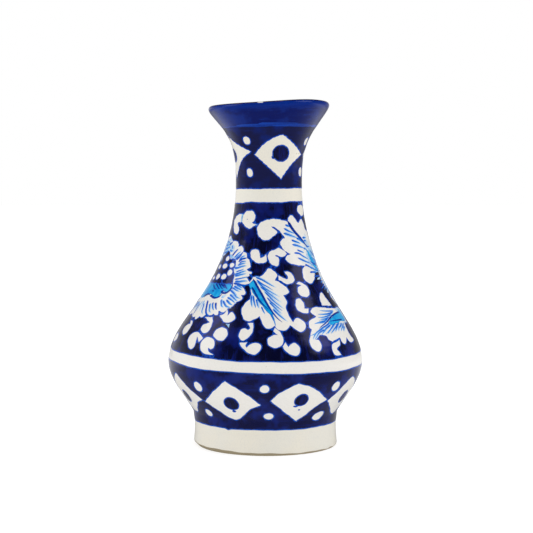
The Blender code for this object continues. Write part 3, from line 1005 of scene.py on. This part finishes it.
MIDDLE_LEAF_RIB = [
    (-15.4, 101.4), (-12.5, 99.5), (-10, 97.4), (-5, 93.2), (-1.5, 89.6), (1.5, 86.4), (5, 82.8), (8.4, 79.7),
    (11.5, 77.6),
]
MIDDLE_LEAF_FOLD = [
    (-15, 96.8), (-13.3, 95.6), (-10, 92.8), (-6.7, 89.9), (-4, 88), (-1.3, 86.3), (1.6, 84.6),
]
MIDDLE_LEAF_VEINS = [
    [(-11.5, 102), (-5, 100.6), (0, 99), (6, 97.1)],
    [(-10.5, 100.6), (-5, 98.5), (0, 97), (5, 95.2)],
    [(-9.5, 100), (-6.7, 98.3), (-2.7, 96.3), (3.3, 94.2), (8.7, 92.3)],
    [(-5.7, 96.6), (-1.7, 95), (1.7, 93.3), (5, 91.7), (10, 89.2)],
    [(-1.5, 93.8), (1.7, 92), (4, 90.3), (6.7, 88.7), (12, 85.7)],
    [(0.5, 90.9), (3.3, 89), (6.7, 87.1), (12, 84)],
    [(2.8, 88.2), (6, 86), (10.7, 82.7)],
    [(5.6, 84.4), (9.3, 81.7), (14, 78.6)],
    [(3.3, 82), (5, 79.6), (6.2, 77.4), (6.6, 75.6)],
    [(-13.6, 91.8), (-13, 88.8), (-11.8, 86.2)],
    [(-12, 91.8), (-10.2, 88.2), (-8.6, 85.6)],
    [(-8.8, 90), (-7.6, 87.6), (-6.3, 85.5)],
    [(-4, 86), (-2.3, 83.8), (-1, 82.3)],
]
HIGH_LEAF_RIB = [
    (30.6, 134.3), (33.7, 132), (38, 129.4), (41.3, 127.8), (46.7, 125.6), (51.3, 123.9), (55.3, 122.1),
    (59, 120.4), (63, 118.7),
]
HIGH_LEAF_VEINS = [
    [(26, 132), (29, 131.6), (32.5, 131)],
    [(24.5, 129.8), (29.7, 128.6), (34, 127.9), (38, 127.2)],
    [(23.7, 127), (29.7, 126.3), (34.7, 125.6), (41.3, 124.7)],
    [(34.7, 123), (39.3, 122.3), (43.3, 121.8), (46.3, 121.3)],
    [(43.7, 123.8), (48, 123.3), (53, 121.8), (56.3, 121.2)],
    [(35.3, 120.4), (41.3, 119.9), (46.3, 119.2), (52, 118.5)],
    [(53, 118.1), (58, 117.7)],
    [(41, 117.3), (45.7, 116.5), (50, 115.8)],
    [(36.7, 115.3), (42.7, 115), (46.7, 113.9), (54.7, 112.1)],
    [(41, 112.4), (46.3, 111.3), (51.3, 110.4), (56.3, 109.7), (61.3, 108.4)],
    [(50, 108.6), (54, 107.8), (58, 106.9), (64.7, 106)],
    [(54.7, 104.3), (61.3, 104.2), (66.3, 104)],
    [(56.3, 124.3), (64.7, 124.3)],
    [(58, 122.6), (64, 122.3)],
    [(61, 119.1), (70, 119)],
]
LOW_FLOWER_RIB = [
    (74, 80.2), (65.5, 80.1), (58, 79.2), (54.3, 78.4), (50.5, 77.1), (47, 76), (44, 75.1), (41, 74.2),
    (38.5, 73.2),
]
LOW_FLOWER_FOLD = [(70.5, 76.3), (64.3, 76.4), (58, 76.5), (51.4, 76.5)]
LOW_FLOWER_VEINS = [
    [(62, 81.6), (57, 81.9), (52, 82.2), (46.5, 82.7)],
    [(60, 81), (55, 80.6), (49, 80.6), (43.5, 80.9)],
    [(56, 79.9), (50.5, 79.3), (46, 79.1), (42, 79.3)],
    [(52, 78.6), (47.5, 78), (43, 78.1)],
    [(49.5, 77.7), (46, 77.1), (41, 77.2)],
    [(46.5, 76.8), (43, 76.4), (39, 76.3), (36.5, 76)],
    [(49.5, 75.4), (45, 74.2), (40, 73), (34.6, 71), (31.2, 70.2)],
    [(41, 72.8), (35.4, 71.2), (32.8, 69.4), (31.6, 68.2)],
    [(42, 72.1), (37.2, 70.9), (34.9, 69.3), (32.8, 67.8)],
    [(50, 74.4), (46.9, 73.5), (44.3, 72.7), (41.7, 71.4), (39.6, 70.3)],
    [(56.3, 74.9), (52.1, 73.7), (48.4, 72.2), (43.2, 70.3)],
    [(53.1, 73.9), (49.5, 72.6), (46.9, 71.4), (44.8, 70.3)],
    [(58, 74.3), (55.2, 73), (52.1, 72), (47.9, 70.3)],
    [(61.5, 74.9), (58.3, 73.7), (55.7, 72.4), (53, 71)],
    [(65.1, 74.3), (61.5, 73), (58.9, 72.4), (56.8, 71)],
    [(68.2, 74.1), (64.6, 72.6), (61.5, 71.6), (59.5, 70.6)],
    [(67, 72.4), (64.4, 71.3), (62.8, 70.2)],
]

FRIEZE_LOZENGES = [
    [(-43.8, 30.8, 1), (-33, 38), (-23.4, 45, 1), (-12, 37.8), (-3.1, 31, 1), (-11, 27.7), (-17.4, 22.9),
     (-22.8, 21), (-28, 22.1), (-36, 26.4)],
    [(3.3, 33.6, 1), (9, 38.6), (19.4, 43.8, 1), (30, 40.2), (44.4, 31.9, 1), (37, 28.4), (31, 23.8),
     (24.2, 20, 1), (16, 24.7), (9, 29.4)],
    [(46, 31, 1), (53, 36.8), (60.4, 42.8), (66, 43.2), (76, 38), (88, 31, 1), (78, 25), (66, 20.9),
     (60, 22.5), (53, 26.8)],
    [(-88, 31, 1), (-78, 38), (-69, 44.2), (-64.6, 45.2), (-56, 38.6), (-46, 31.7, 1), (-53, 29.6),
     (-58.6, 26), (-65, 22.2), (-77, 24)],
]
FRIEZE_DISCS = [(-22.7, 31.2, 4.8), (23.6, 33.4, 4.5), (65.8, 31.4, 4.5), (-66, 31.8, 4.4)]
FRIEZE_DOTS = [
    (-44.4, 39.9, 3.1, 3.2, 0), (-46.9, 23.4, 2.6, 2.5, -20), (-0.4, 40.9, 2.7, 2.5, 20),
    (2.4, 23.7, 2.8, 2.3, 0), (47.5, 39.8, 3.2, 3.1, 0), (44.1, 21.9, 4.3, 2.8, 14),
    (88, 40, 2.8, 2.6, 0), (89, 22, 3.0, 2.2, 8),
]
NECK_LOZENGES = [
    [(-23.2, 173.1, 1), (-8, 178.9), (8, 183), (19, 184.6, 1), (42, 178.8), (65.2, 173.3, 1), (44, 168.4),
     (30, 163.2), (21, 159, 1), (2, 165)],
    [(-119, 174, 1), (-100, 180.6), (-80, 184.4, 1), (-60, 180), (-29.8, 174.8, 1), (-44, 172),
     (-55, 168.7), (-64, 164.6), (-74, 159.6, 1), (-97, 166)],
]
PALE_DABS = [
    [(-49.6, 138.2, 1), (-45.8, 138.3, 1), (-46.9, 133.9, 1), (-49.2, 133.5, 1)],
    [(-20.4, 132.5, 1), (-17, 132.2), (-20.4, 131.6, 1)],
    [(-28.8, 76.2, 1), (-25.9, 76.3, 1), (-25.4, 74.3, 1)],
]
RIM_STREAKS = [
    [(-42, 190.0), (-15, 190.3), (6, 190.1), (22, 190.5)],
    [(-12, 190.9), (14, 190.8), (36, 191.1)],
    [(4, 189.9), (30, 190.2), (62, 190.1)],
    [(-120, 189.8), (-95, 190.1), (-70, 189.9)],
]
SIDE_VEIN_WIDTH = 0.85
SIDE_PARTING_WIDTH = 1.0
# The strokes of one spray, as (lines, width, how far they are drawn out about their middle).
PARTING_STROKES = (PETAL_PARTINGS, 1.35, 1.0)
VEIN_STROKES = [
    (PETAL_VEINS, 1.0, 1.15),
    (MIDDLE_LEAF_VEINS, 0.85, 1.08),
    (HIGH_LEAF_VEINS, 0.95, 1.3),
    (LOW_FLOWER_VEINS, 0.82, 1.12),
]
RIB_STROKES = [
    ([MIDDLE_LEAF_RIB], 1.35, 1.0),
    ([MIDDLE_LEAF_FOLD, LOW_FLOWER_RIB], 0.95, 1.0),
    ([LOW_FLOWER_FOLD], 0.8, 1.0),
    (CUP_HATCHING, 1.1, 1.15),
    (CUP_EDGE, 1.45, 1.0),
    ([HIGH_LEAF_RIB], 1.9, 1.0),
]
# Where the pale wash was laid, as (angle, height, reach, strength).
WASHES = [
    (-72, 119, 12, 0.8), (-62, 118, 6, 0.7), (-56, 118, 5, 0.6), (-86, 110, 14, 0.7), (-94, 96, 14, 0.7),
    (-78, 86, 9, 0.4), (-66, 85, 6, 0.3), (-39, 107, 5, 0.55), (70, 112, 15, 0.9), (64, 121, 10, 0.6),
    (55, 112, 9, 0.35), (76, 79, 12, 0.9), (62, 73, 7, 0.35), (-12, 92, 5, 0.4), (-6, 88, 5, 0.4),
]
# Round spots as (angle, height, half width, half height[, lean]).
NECK_DISCS = [(19.9, 173.9, 5.4, 5.15), (-80, 172.8, 5.0, 4.2)]
NECK_DOTS = [
    (-33.8, 181.3, 2.3, 2.5, 15), (-34.6, 162.6, 2.0, 2.55, 20), (71.5, 181, 2.4, 2.5, 0),
    (70.5, 163, 2.6, 2.7, 0),
]
# The motifs that go on round the back: their angles, and their shapes without an angle.
NECK_BACK_AT = (112, 196)
NECK_BACK_LOZENGE = (37, 173.5, 184, 159)  # half width in degrees; heights of middle, top and bottom
NECK_BACK_DISC = (5.0, 4.6)
NECK_BACK_DOTS_AT = (154, -122)
NECK_BACK_DOTS = [(181, 2.0, 2.4, 0), (162.5, 2.1, 2.5, 15)]
FRIEZE_BACK_AT = (111, 156, 201, 246)
FRIEZE_BACK_LOZENGE = (20.5, 31, 43.8, 20.8)
FRIEZE_BACK_DISC = (4.4, 4.3)
FRIEZE_BACK_DOTS_AT = (133.5, 178.5, 223.5)
FRIEZE_BACK_DOTS = [(40, 2.9, 2.5, 10), (22.5, 2.9, 2.5, 10)]
DISC_TALLNESS = 1.04  # the frieze's discs at the front are a little taller than wide
BRUSH_TAILS = [
    (-36.2, 135.3, 0.35, 0.22), (-22.3, 26.4, 1.2, 0.9), (7.2, 171.6, 1.1, 1.1), (24, 27.2, 0.7, 0.5),
    (-45.2, 93.5, 1.0, 1.0), (20.6, 29.6, 1.5, 0.7),
]


def plain_lozenge(centre, half, middle, top, bottom):
    """A lozenge with gently bowed sides, as (angle, height) points."""
    bow = 0.54
    return [
        (centre - half, middle, 1), (centre - half * (1 - bow), middle + (top - middle) * bow),
        (centre, top, 1), (centre + half * bow, middle + (top - middle) * (1 - bow) + 0.5),
        (centre + half, middle, 1), (centre + half * (1 - bow), middle + (bottom - middle) * bow),
        (centre, bottom, 1), (centre - half * bow, middle + (bottom - middle) * (1 - bow) - 0.4),
    ]


def side_veins(rng):
    """Veins and partings of the big flower's petals on its left side, fanned out from its centre."""
    middle_angle, middle_height = -74.0, 100.0
    widening = 1.25
    veins, partings = [], []
    for degrees in range(95, 282, 7):
        turn = math.radians(degrees + rng.uniform(-2, 2))
        parting = degrees % 3 == 1  # every third line
        line = []
        for reach in (14.5, 21.5) if parting else (14.0, rng.uniform(17.0, 19.5)):
            height = middle_height + reach * math.sin(turn)
            aside = widening * reach * math.cos(turn)
            line.append((middle_angle + math.degrees(aside / outer(height)[0]), height))
        (partings if parting else veins).append(line)
    return veins, partings


# ---------------------------------------------------------------- pieces


def bare_edge(theta):
    """Distance up the foot at which the glaze stops, wavy and with one bump."""
    bump = 0.5 * np.exp(-(((theta - 1.1) / 0.05) ** 2))
    return rub(theta) + 0.25 + 0.16 * np.sin(9 * theta + 1) + 0.09 * np.sin(23 * theta) + bump


def coat_rows(theta):
    """The coat's rings as distances along the profile, from its bare edge to the floor inside."""
    outside = levels(COAT_LOW_RINGS, CREST_S + 4.0, COAT_STEP_OUTSIDE)
    inside = levels(CREST_S + COAT_INSIDE_FROM, END_S - 2.0, COAT_STEP_INSIDE)
    bare = bare_edge(theta)
    rows = [bare + (outside[0] - bare) * share for share in (0, 0.12, 0.35, 0.65)]
    return rows + [np.full(len(theta), ring) for ring in (*outside, *inside)]


def shell_faces(rows, columns):
    """Faces of a thin shell: its upper and lower rings, a wall at the first ring and a middle at the last."""
    size = rows * columns
    faces = []
    for row in range(rows - 1):
        for k in range(columns):
            a, b = row * columns + k, row * columns + (k + 1) % columns
            c, d = b + columns, a + columns
            faces.append((a, b, c, d))
            faces.append((d + size, c + size, b + size, a + size))
    last = size - columns
    for k in range(columns):
        a, b = k, (k + 1) % columns
        faces.append((b, a, a + size, b + size))
        faces.append((last + a, last + b, 2 * size))
        faces.append((last + b + size, last + a + size, 2 * size + 1))
    return faces


def glaze_coat(material):
    """The white glaze, from the bare edge of the foot up, over the lip and down to the floor inside."""
    theta = np.linspace(-math.pi, math.pi, COAT_COLUMNS + 1)[:-1]
    rows = coat_rows(theta)
    s = np.concatenate(rows)
    turn = np.tile(theta, len(rows))
    upper, lower = place(turn, s, COAT_TOP), place(turn, s, COAT_UNDER)
    upper[:COAT_COLUMNS] = place(theta, rows[0], COAT_TOP * 0.5)  # the coat thins out at its edge
    normals = facing(turn, s)
    lifts = (COAT_TOP + COAT_EXTRA_INSIDE, COAT_UNDER + COAT_EXTRA_INSIDE)
    middle = np.array([[0.0, 0.0, FLOOR_Z + lift] for lift in lifts])
    points = np.concatenate([upper, lower, middle])
    normals = np.concatenate([normals, -normals, [[0, 0, 1], [0, 0, -1]]])
    faces = shell_faces(len(rows), COAT_COLUMNS)
    brush = np.concatenate([np.tile(brush_space(turn, s), (2, 1)), middle])
    return make_piece("glaze_coat", points, faces, normals, material, {"brush": brush})


def brushed_edge(height, swing=0.0, phase=0.0, tremor=0.14):
    """A painted edge round the vase as a function from theta to a distance along the profile."""

    def edge(theta):
        waves = np.sin(7 * theta + phase) + 0.6 * np.sin(13 * theta + 2.3 * phase) + 0.5 * np.sin(31 * theta)
        return s_at(height + swing * np.sin(theta) + tremor * waves)

    return edge


def lip_band(material):
    """Cobalt over the flare and the lip, ending in a brushed edge inside the mouth."""

    def inside(theta):
        return CREST_S + RIM_INSIDE + 0.7 * np.sin(3 * theta) + 0.4 * np.sin(11 * theta + 1)

    ring = band(brushed_edge(RIM_LOW, 0.15, 0.4, 0.1), inside)
    # a small white speck just under the crest, left bare of cobalt
    white_speck = oval(-8.0, CREST_S - 1.1, 1.9, 0.6)
    film("lip_band", [ring], [white_speck], material, GROUND_TOP + 0.03, depth=0.13, rim=1.3)


def neck_ground(material):
    """Deep cobalt round the neck, with its lozenges and dots left white."""
    shapes = NECK_LOZENGES + [plain_lozenge(angle, *NECK_BACK_LOZENGE) for angle in NECK_BACK_AT]
    dots = NECK_DOTS + [(angle, *dot) for angle in NECK_BACK_DOTS_AT for dot in NECK_BACK_DOTS]
    holes = [outline(shape) for shape in shapes]
    holes += [spot((angle, z), w, h, lean) for angle, z, w, h, lean in dots]
    ground = band(brushed_edge(NECK_LOW, 0.25, 1.1, 0.09), brushed_edge(NECK_HIGH))
    film("neck_ground", [ground], wrapped(holes), material, GROUND_TOP, spacing=1.2)


def shoulder_low(theta):
    """Lower edge of the painted shoulder, above the belt, lowest at the front."""
    return brushed_edge(SHOULDER_LOW, -0.95, 0.8, 0.13)(theta) - 1.9 * np.cos(theta)


def shoulder_high(theta):
    """Upper edge of the painted shoulder: lower on the left, with a bump where a comma reaches it."""
    turn = np.degrees(theta)
    step = 0.4 * smooth_step((turn - 20) / 15) - 0.6 * smooth_step((-turn - 38) / 14)
    return brushed_edge(SHOULDER_HIGH, 0.0, 2.0, 0.07)(theta) + step + 0.4 * np.exp(-(((turn + 29) / 7) ** 2))


def spray(turn, drift):
    """All white motifs of one spray as outlines, the four large ones first."""
    shapes = [BIG_FLOWER, COMMA_AND_HIGH_LEAF, MIDDLE_LEAF, LOW_FLOWER, *SMALL_MOTIFS]
    return [outline(shape, turn, drift) for shape in shapes]


def shoulder_ground(material, sprays):
    """Deep cobalt over the shoulder, with the flowers, leaves and commas left white."""
    holes = [loop for shapes in sprays for loop in shapes]
    ground = band(shoulder_low, shoulder_high)
    film("shoulder_ground", [ground], wrapped(holes), material, GROUND_TOP)


def frieze_ground(material):
    """Deep cobalt round the lower bowl, with a row of lozenges and dots left white."""
    shapes = FRIEZE_LOZENGES + [plain_lozenge(angle, *FRIEZE_BACK_LOZENGE) for angle in FRIEZE_BACK_AT]
    dots = FRIEZE_DOTS + [(angle, *dot) for angle in FRIEZE_BACK_DOTS_AT for dot in FRIEZE_BACK_DOTS]
    holes = [outline(shape) for shape in shapes]
    holes += [spot((angle, z), w, h, lean) for angle, z, w, h, lean in dots]

    def low(theta):
        drip = 0.8 * np.exp(-(((theta + 0.53) / 0.035) ** 2))
        return brushed_edge(FRIEZE_LOW, -0.2, 1.7, 0.1)(theta) - drip

    def high(theta):
        return brushed_edge(FRIEZE_HIGH, -1.5, 2.9, 0.1)(theta) + smooth_step((np.abs(theta) - 0.8) / 0.4)

    film("frieze_ground", [band(low, high)], wrapped(holes), material, GROUND_TOP)


def lozenge_discs(material):
    """The round cobalt spot in the middle of each lozenge, with the tails that the brush left."""
    discs = [spot((angle, z), r, r * DISC_TALLNESS) for angle, z, r in FRIEZE_DISCS]
    discs += [spot((angle, FRIEZE_BACK_LOZENGE[1]), *FRIEZE_BACK_DISC) for angle in FRIEZE_BACK_AT]
    discs += [spot((angle, z), w, h, lean=-20) for angle, z, w, h in NECK_DISCS]
    discs += [spot((angle, NECK_BACK_LOZENGE[1]), *NECK_BACK_DISC) for angle in NECK_BACK_AT]
    discs += [spot((angle, z), w, h) for angle, z, w, h in BRUSH_TAILS]
    film("lozenge_discs", discs, [], material, FILL_TOP, depth=0.12, spacing=1.2, rim=0.6)


def seed_heads(material, turns):
    """The dark seed head of each big flower, with its seeds left white."""
    heads = [outline(SEED_HEAD, turn, drift) for turn, drift in turns]
    seeds = []
    for turn, drift in turns:
        for angle, height, wide, high in SEEDS:
            centre = drifted((angle, height), drift)
            seeds.append(spot((centre[0] + turn, centre[1]), wide, high))
    film("seed_heads", heads, seeds, material, FILL_TOP, depth=0.12, spacing=1.2)


def wash_strength(centres, upper):
    """Strength of the wash near a list of places (x, y, z, reach, strength)."""
    strength = np.zeros(len(upper))
    for x, y, z, reach, most in centres:
        distance = np.linalg.norm(upper - np.array([x, y, z]), axis=1)
        strength = np.maximum(strength, most * (1 - smooth_step(distance / reach)))
    return strength


def wash_places(turn):
    """The places of one spray's washes, as (x, y, z, reach, strength)."""
    found = []
    for angle, height, reach, strength in WASHES:
        centre = place(np.radians([angle + turn]), np.array([s_at(height)]), WASH_TOP)[0]
        found.append((*centre, reach, strength))
    return found


def washes(material, sprays):
    """Pale blue wash in the big flowers and the leaves."""
    centres = wash_places(0) + wash_places(BACK_TURN)
    names = ("flower", "high_leaf", "middle_leaf", "low_flower")
    for side, shapes in zip(("front", "back"), sprays):
        for kind, loop in zip(names, shapes):
            film(
                f"{kind}_wash_{side}", [loop], [], material, WASH_TOP,
                tint=lambda upper: wash_strength(centres, upper),
            )


def pale_dabs(material, turns):
    """Small pale blue links between neighbouring commas."""
    loops = [outline(shape, turn, drift) for turn, drift in turns for shape in PALE_DABS]
    film(
        "pale_dabs", loops, [], material, FILL_TOP, depth=0.12, spacing=1.0,
        tint=lambda upper: np.full(len(upper), 0.75),
    )


def turquoise_fills(material, turns):
    """Turquoise in the flower's cup, the leaves' ribs and the low flower's heart."""
    shapes = [CUP, LOW_FLOWER_HEART, MIDDLE_LEAF_HEART, HIGH_LEAF_HEART]
    loops = [outline(shape, turn, drift) for turn, drift in turns for shape in shapes]
    film("turquoise_fills", loops, [], material, FILL_TOP - 0.01, depth=0.11, spacing=1.2)


def drawn(lines, width, rng, turn, drift, reach=1.0):
    """Brush strokes along (angle, height) lines, drawn out by a factor, with a slightly uneven width."""
    found = []
    for line in lines:
        knots = chart_knots(line, turn, drift)
        middle = (knots[0] + knots[-1]) / 2
        found.append((middle + (knots - middle) * reach, width * rng.uniform(0.82, 1.18)))
    return found


def drawn_tables(tables, rng, turn, drift):
    """The strokes of several (lines, width, reach) tables."""
    found = []
    for lines, width, reach in tables:
        found += drawn(lines, width, rng, turn, drift, reach)
    return found


def fine_veins(material, turns):
    """Fine veins of the petals and leaves."""
    rng = random.Random(11)
    found = []
    for turn, drift in turns:
        side, _ = side_veins(rng)
        found += drawn_tables([(side, SIDE_VEIN_WIDTH, 1.0), *VEIN_STROKES], rng, turn, drift)
    strokes("petal_and_leaf_veins", found, material)


def vein_shades(material, turns):
    """Pale, watery strokes beside the veins."""
    share = 0.7  # how many of the veins have one
    aside = 0.5
    rng = random.Random(15)
    found = []
    for turn, drift in turns:
        side, _ = side_veins(rng)
        for lines in (side, PETAL_VEINS, MIDDLE_LEAF_VEINS, HIGH_LEAF_VEINS):
            shaded = [line for line in lines if rng.random() < share]
            found += drawn(shaded, 1.7, rng, turn + aside, drift, 1.25)
        found += drawn(PETAL_SHADES, 1.6, rng, turn, drift)
        found += drawn(LOW_FLOWER_VEINS, 1.5, rng, turn + 0.6, drift, 1.2)
    strokes("vein_shades", found, material, top=STROKE_TOP - 0.04, depth=0.1)


def bold_lines(material, turns):
    """The lines that part the petals."""
    rng = random.Random(12)
    found = []
    for turn, drift in turns:
        _, side = side_veins(rng)
        found += drawn_tables([(side, SIDE_PARTING_WIDTH, 1.0), PARTING_STROKES], rng, turn, drift)
    strokes("petal_partings", found, material, top=STROKE_TOP + 0.01)


def rim_streaks(material, turns):
    """Brighter streaks where the brush went round the lower edge of the lip band."""
    rng = random.Random(14)
    found = [stroke for turn, _ in turns for stroke in drawn(RIM_STREAKS, 1.5, rng, turn, 0)]
    strokes("rim_streaks", found, material, top=GROUND_TOP + 0.06)


def rib_lines(material, turns):
    """The dark ribs of the leaves and the low flower, and the cup's hatching and edge."""
    rng = random.Random(13)
    found = [stroke for turn, drift in turns for stroke in drawn_tables(RIB_STROKES, rng, turn, drift)]
    strokes("rib_lines", found, material, top=STROKE_TOP + 0.02)


def clothe_sections():
    """Clay materials for the CAD sections, which show only at the foot's bare edge and from below."""
    clay = bare_clay("bare_clay", srgb(150, 139, 112))
    slip = bare_clay("joint_slip_clay", srgb(190, 178, 152))
    for name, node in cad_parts.items():
        node.data.materials.clear()
        node.data.materials.append(slip if name.endswith("slip") else clay)


# ---------------------------------------------------------------- studio


def studio_floor():
    """A wide pale floor, bright to the camera and quieter in the glaze's reflections."""
    mesh = bpy.data.meshes.new("studio_floor")
    low, high = -FLOOR_REACH, FLOOR_REACH
    mesh.from_pydata([(low, low, 0), (high, low, 0), (high, high, 0), (low, high, 0)], [], [(0, 1, 2, 3)])
    shader = Shader("studio_floor")
    matt = {"Base Color": (0.4, 0.4, 0.4, 1.0), "Roughness": 1.0, "Specular IOR Level": 0.0}
    shader.fill(shader.surface, matt)
    behind = shader.axis(shader.position(), "Y")
    near = shader.span(behind, -110.0, 280.0, 0.13, 0.8)
    mirrored = shader.times(near, shader.span(behind, 350.0, 1100.0, 1.0, 0.4))
    glow = shader.node("ShaderNodeEmission", {"Strength": FLOOR_GLOW}).outputs[0]
    bright = shader.node("ShaderNodeAddShader", {0: shader.surface.outputs[0], 1: glow}).outputs[0]
    quiet = shader.node("ShaderNodeEmission", {"Strength": mirrored}).outputs[0]
    chosen = shader.choose("Is Glossy Ray", bright, quiet)
    shader.fill(shader.tree.nodes["Material Output"], {"Surface": chosen})
    mesh.materials.append(shader.material)
    floor = bpy.data.objects.new("studio_floor", mesh)
    bpy.context.scene.collection.objects.link(floor)


def studio_world():
    """White surroundings, brighter behind the vase, and dimmer in front and above for reflections."""
    world = bpy.data.worlds.new("studio_world")
    bpy.context.scene.world = world
    world.use_nodes = True
    sky = Nodes(world.node_tree)
    sky.tree.nodes.clear()
    way = sky.node("ShaderNodeTexCoord").outputs["Generated"]
    behind = sky.span(sky.axis(way, "Y"), -0.9, 0.9, 0.07, 0.68)
    above = sky.span(sky.axis(way, "Z"), -0.05, 0.45, 1.0, 0.15)
    beside_vase = sky.span(sky.axis(way, "X"), -0.1, 0.8, 1.0, 0.3)
    mirrored = sky.times(sky.times(behind, above), beside_vase)
    soft = sky.span(sky.axis(way, "Y"), -1.0, 1.0, 0.86, 1.3)
    lights = []
    for strength in (soft, mirrored, 1.0):
        inputs = {"Color": (1.0, 1.0, 1.0, 1.0), "Strength": strength}
        lights.append(sky.node("ShaderNodeBackground", inputs).outputs[0])
    by_gloss = sky.choose("Is Glossy Ray", lights[0], lights[1])
    sky.node("ShaderNodeOutputWorld", {"Surface": sky.choose("Is Camera Ray", by_gloss, lights[2])})


def softbox(name, azimuth, power):
    """A square area light aimed at the vase; azimuth from the front, positive to the right."""
    light = bpy.data.lights.new(name, "AREA")
    light.size = SOFTBOX_SIZE
    light.energy = power
    light.color = SOFTBOX_COLOUR
    lamp = bpy.data.objects.new(name, light)
    turn, rise = math.radians(azimuth), math.radians(SOFTBOX_RISE)
    direction = Vector((math.sin(turn) * math.cos(rise), -math.cos(turn) * math.cos(rise), math.sin(rise)))
    lamp.location = direction * SOFTBOX_DISTANCE + Vector((0, 0, 0.1))
    lamp.rotation_euler = direction.to_track_quat("Z", "Y").to_euler()
    bpy.context.scene.collection.objects.link(lamp)


def camera():
    """The camera, a little above the vase's middle and looking slightly down."""
    lens = bpy.data.cameras.new("camera")
    lens.lens = LENS
    lens.sensor_width = SENSOR
    body = bpy.data.objects.new("camera", lens)
    body.location = CAMERA_AT
    body.rotation_euler = (math.radians(90 - CAMERA_DOWN), 0, 0)
    bpy.context.scene.collection.objects.link(body)
    bpy.context.scene.camera = body


def build():
    """Makes every piece of the visual model and the studio."""
    high_ground = cobalt("cobalt_shoulder", srgb(3, 5, 39), srgb(6, 27, 120), srgb(4, 74, 182), 0.6, True)
    low_ground = cobalt("cobalt_frieze", srgb(7, 11, 60), srgb(10, 34, 122), srgb(8, 78, 180), 0.4)
    neck_colours = (srgb(23, 26, 66), srgb(16, 36, 112), srgb(6, 68, 176))
    slim_ground = cobalt("cobalt_neck", *neck_colours, 0.4, index=1.3)
    turns = [(0, 0.0), (BACK_TURN, BACK_DRIFT)]
    sprays = [spray(*turn) for turn in turns]
    clothe_sections()
    glaze_coat(white_glaze())
    lip_band(rim_cobalt())
    neck_ground(slim_ground)
    shoulder_ground(high_ground, sprays)
    frieze_ground(low_ground)
    lozenge_discs(high_ground)
    seed_heads(high_ground, turns)
    watery = wash_blue()
    washes(watery, sprays)
    pale_dabs(watery, turns)
    turquoise_fills(turquoise(), turns)
    vein_shades(stroke_paint("vein_shade", srgb(134, 182, 230), srgb(196, 216, 234)), turns)
    fine_veins(stroke_paint("vein_blue", srgb(8, 92, 202), srgb(60, 144, 222)), turns)
    bold_lines(stroke_paint("line_blue", srgb(2, 68, 176), srgb(8, 92, 198)), turns)
    rib_lines(stroke_paint("rib_blue", srgb(3, 42, 136), srgb(4, 66, 164)), turns)
    rim_streaks(stroke_paint("rim_streak", srgb(20, 60, 156), srgb(14, 44, 128)), turns)
    studio_floor()
    studio_world()
    softbox("softbox_left", -88, 1.6)
    softbox("softbox_right", 79, 1.8)
    camera()
    bpy.context.scene.view_settings.view_transform = "Standard"


build()
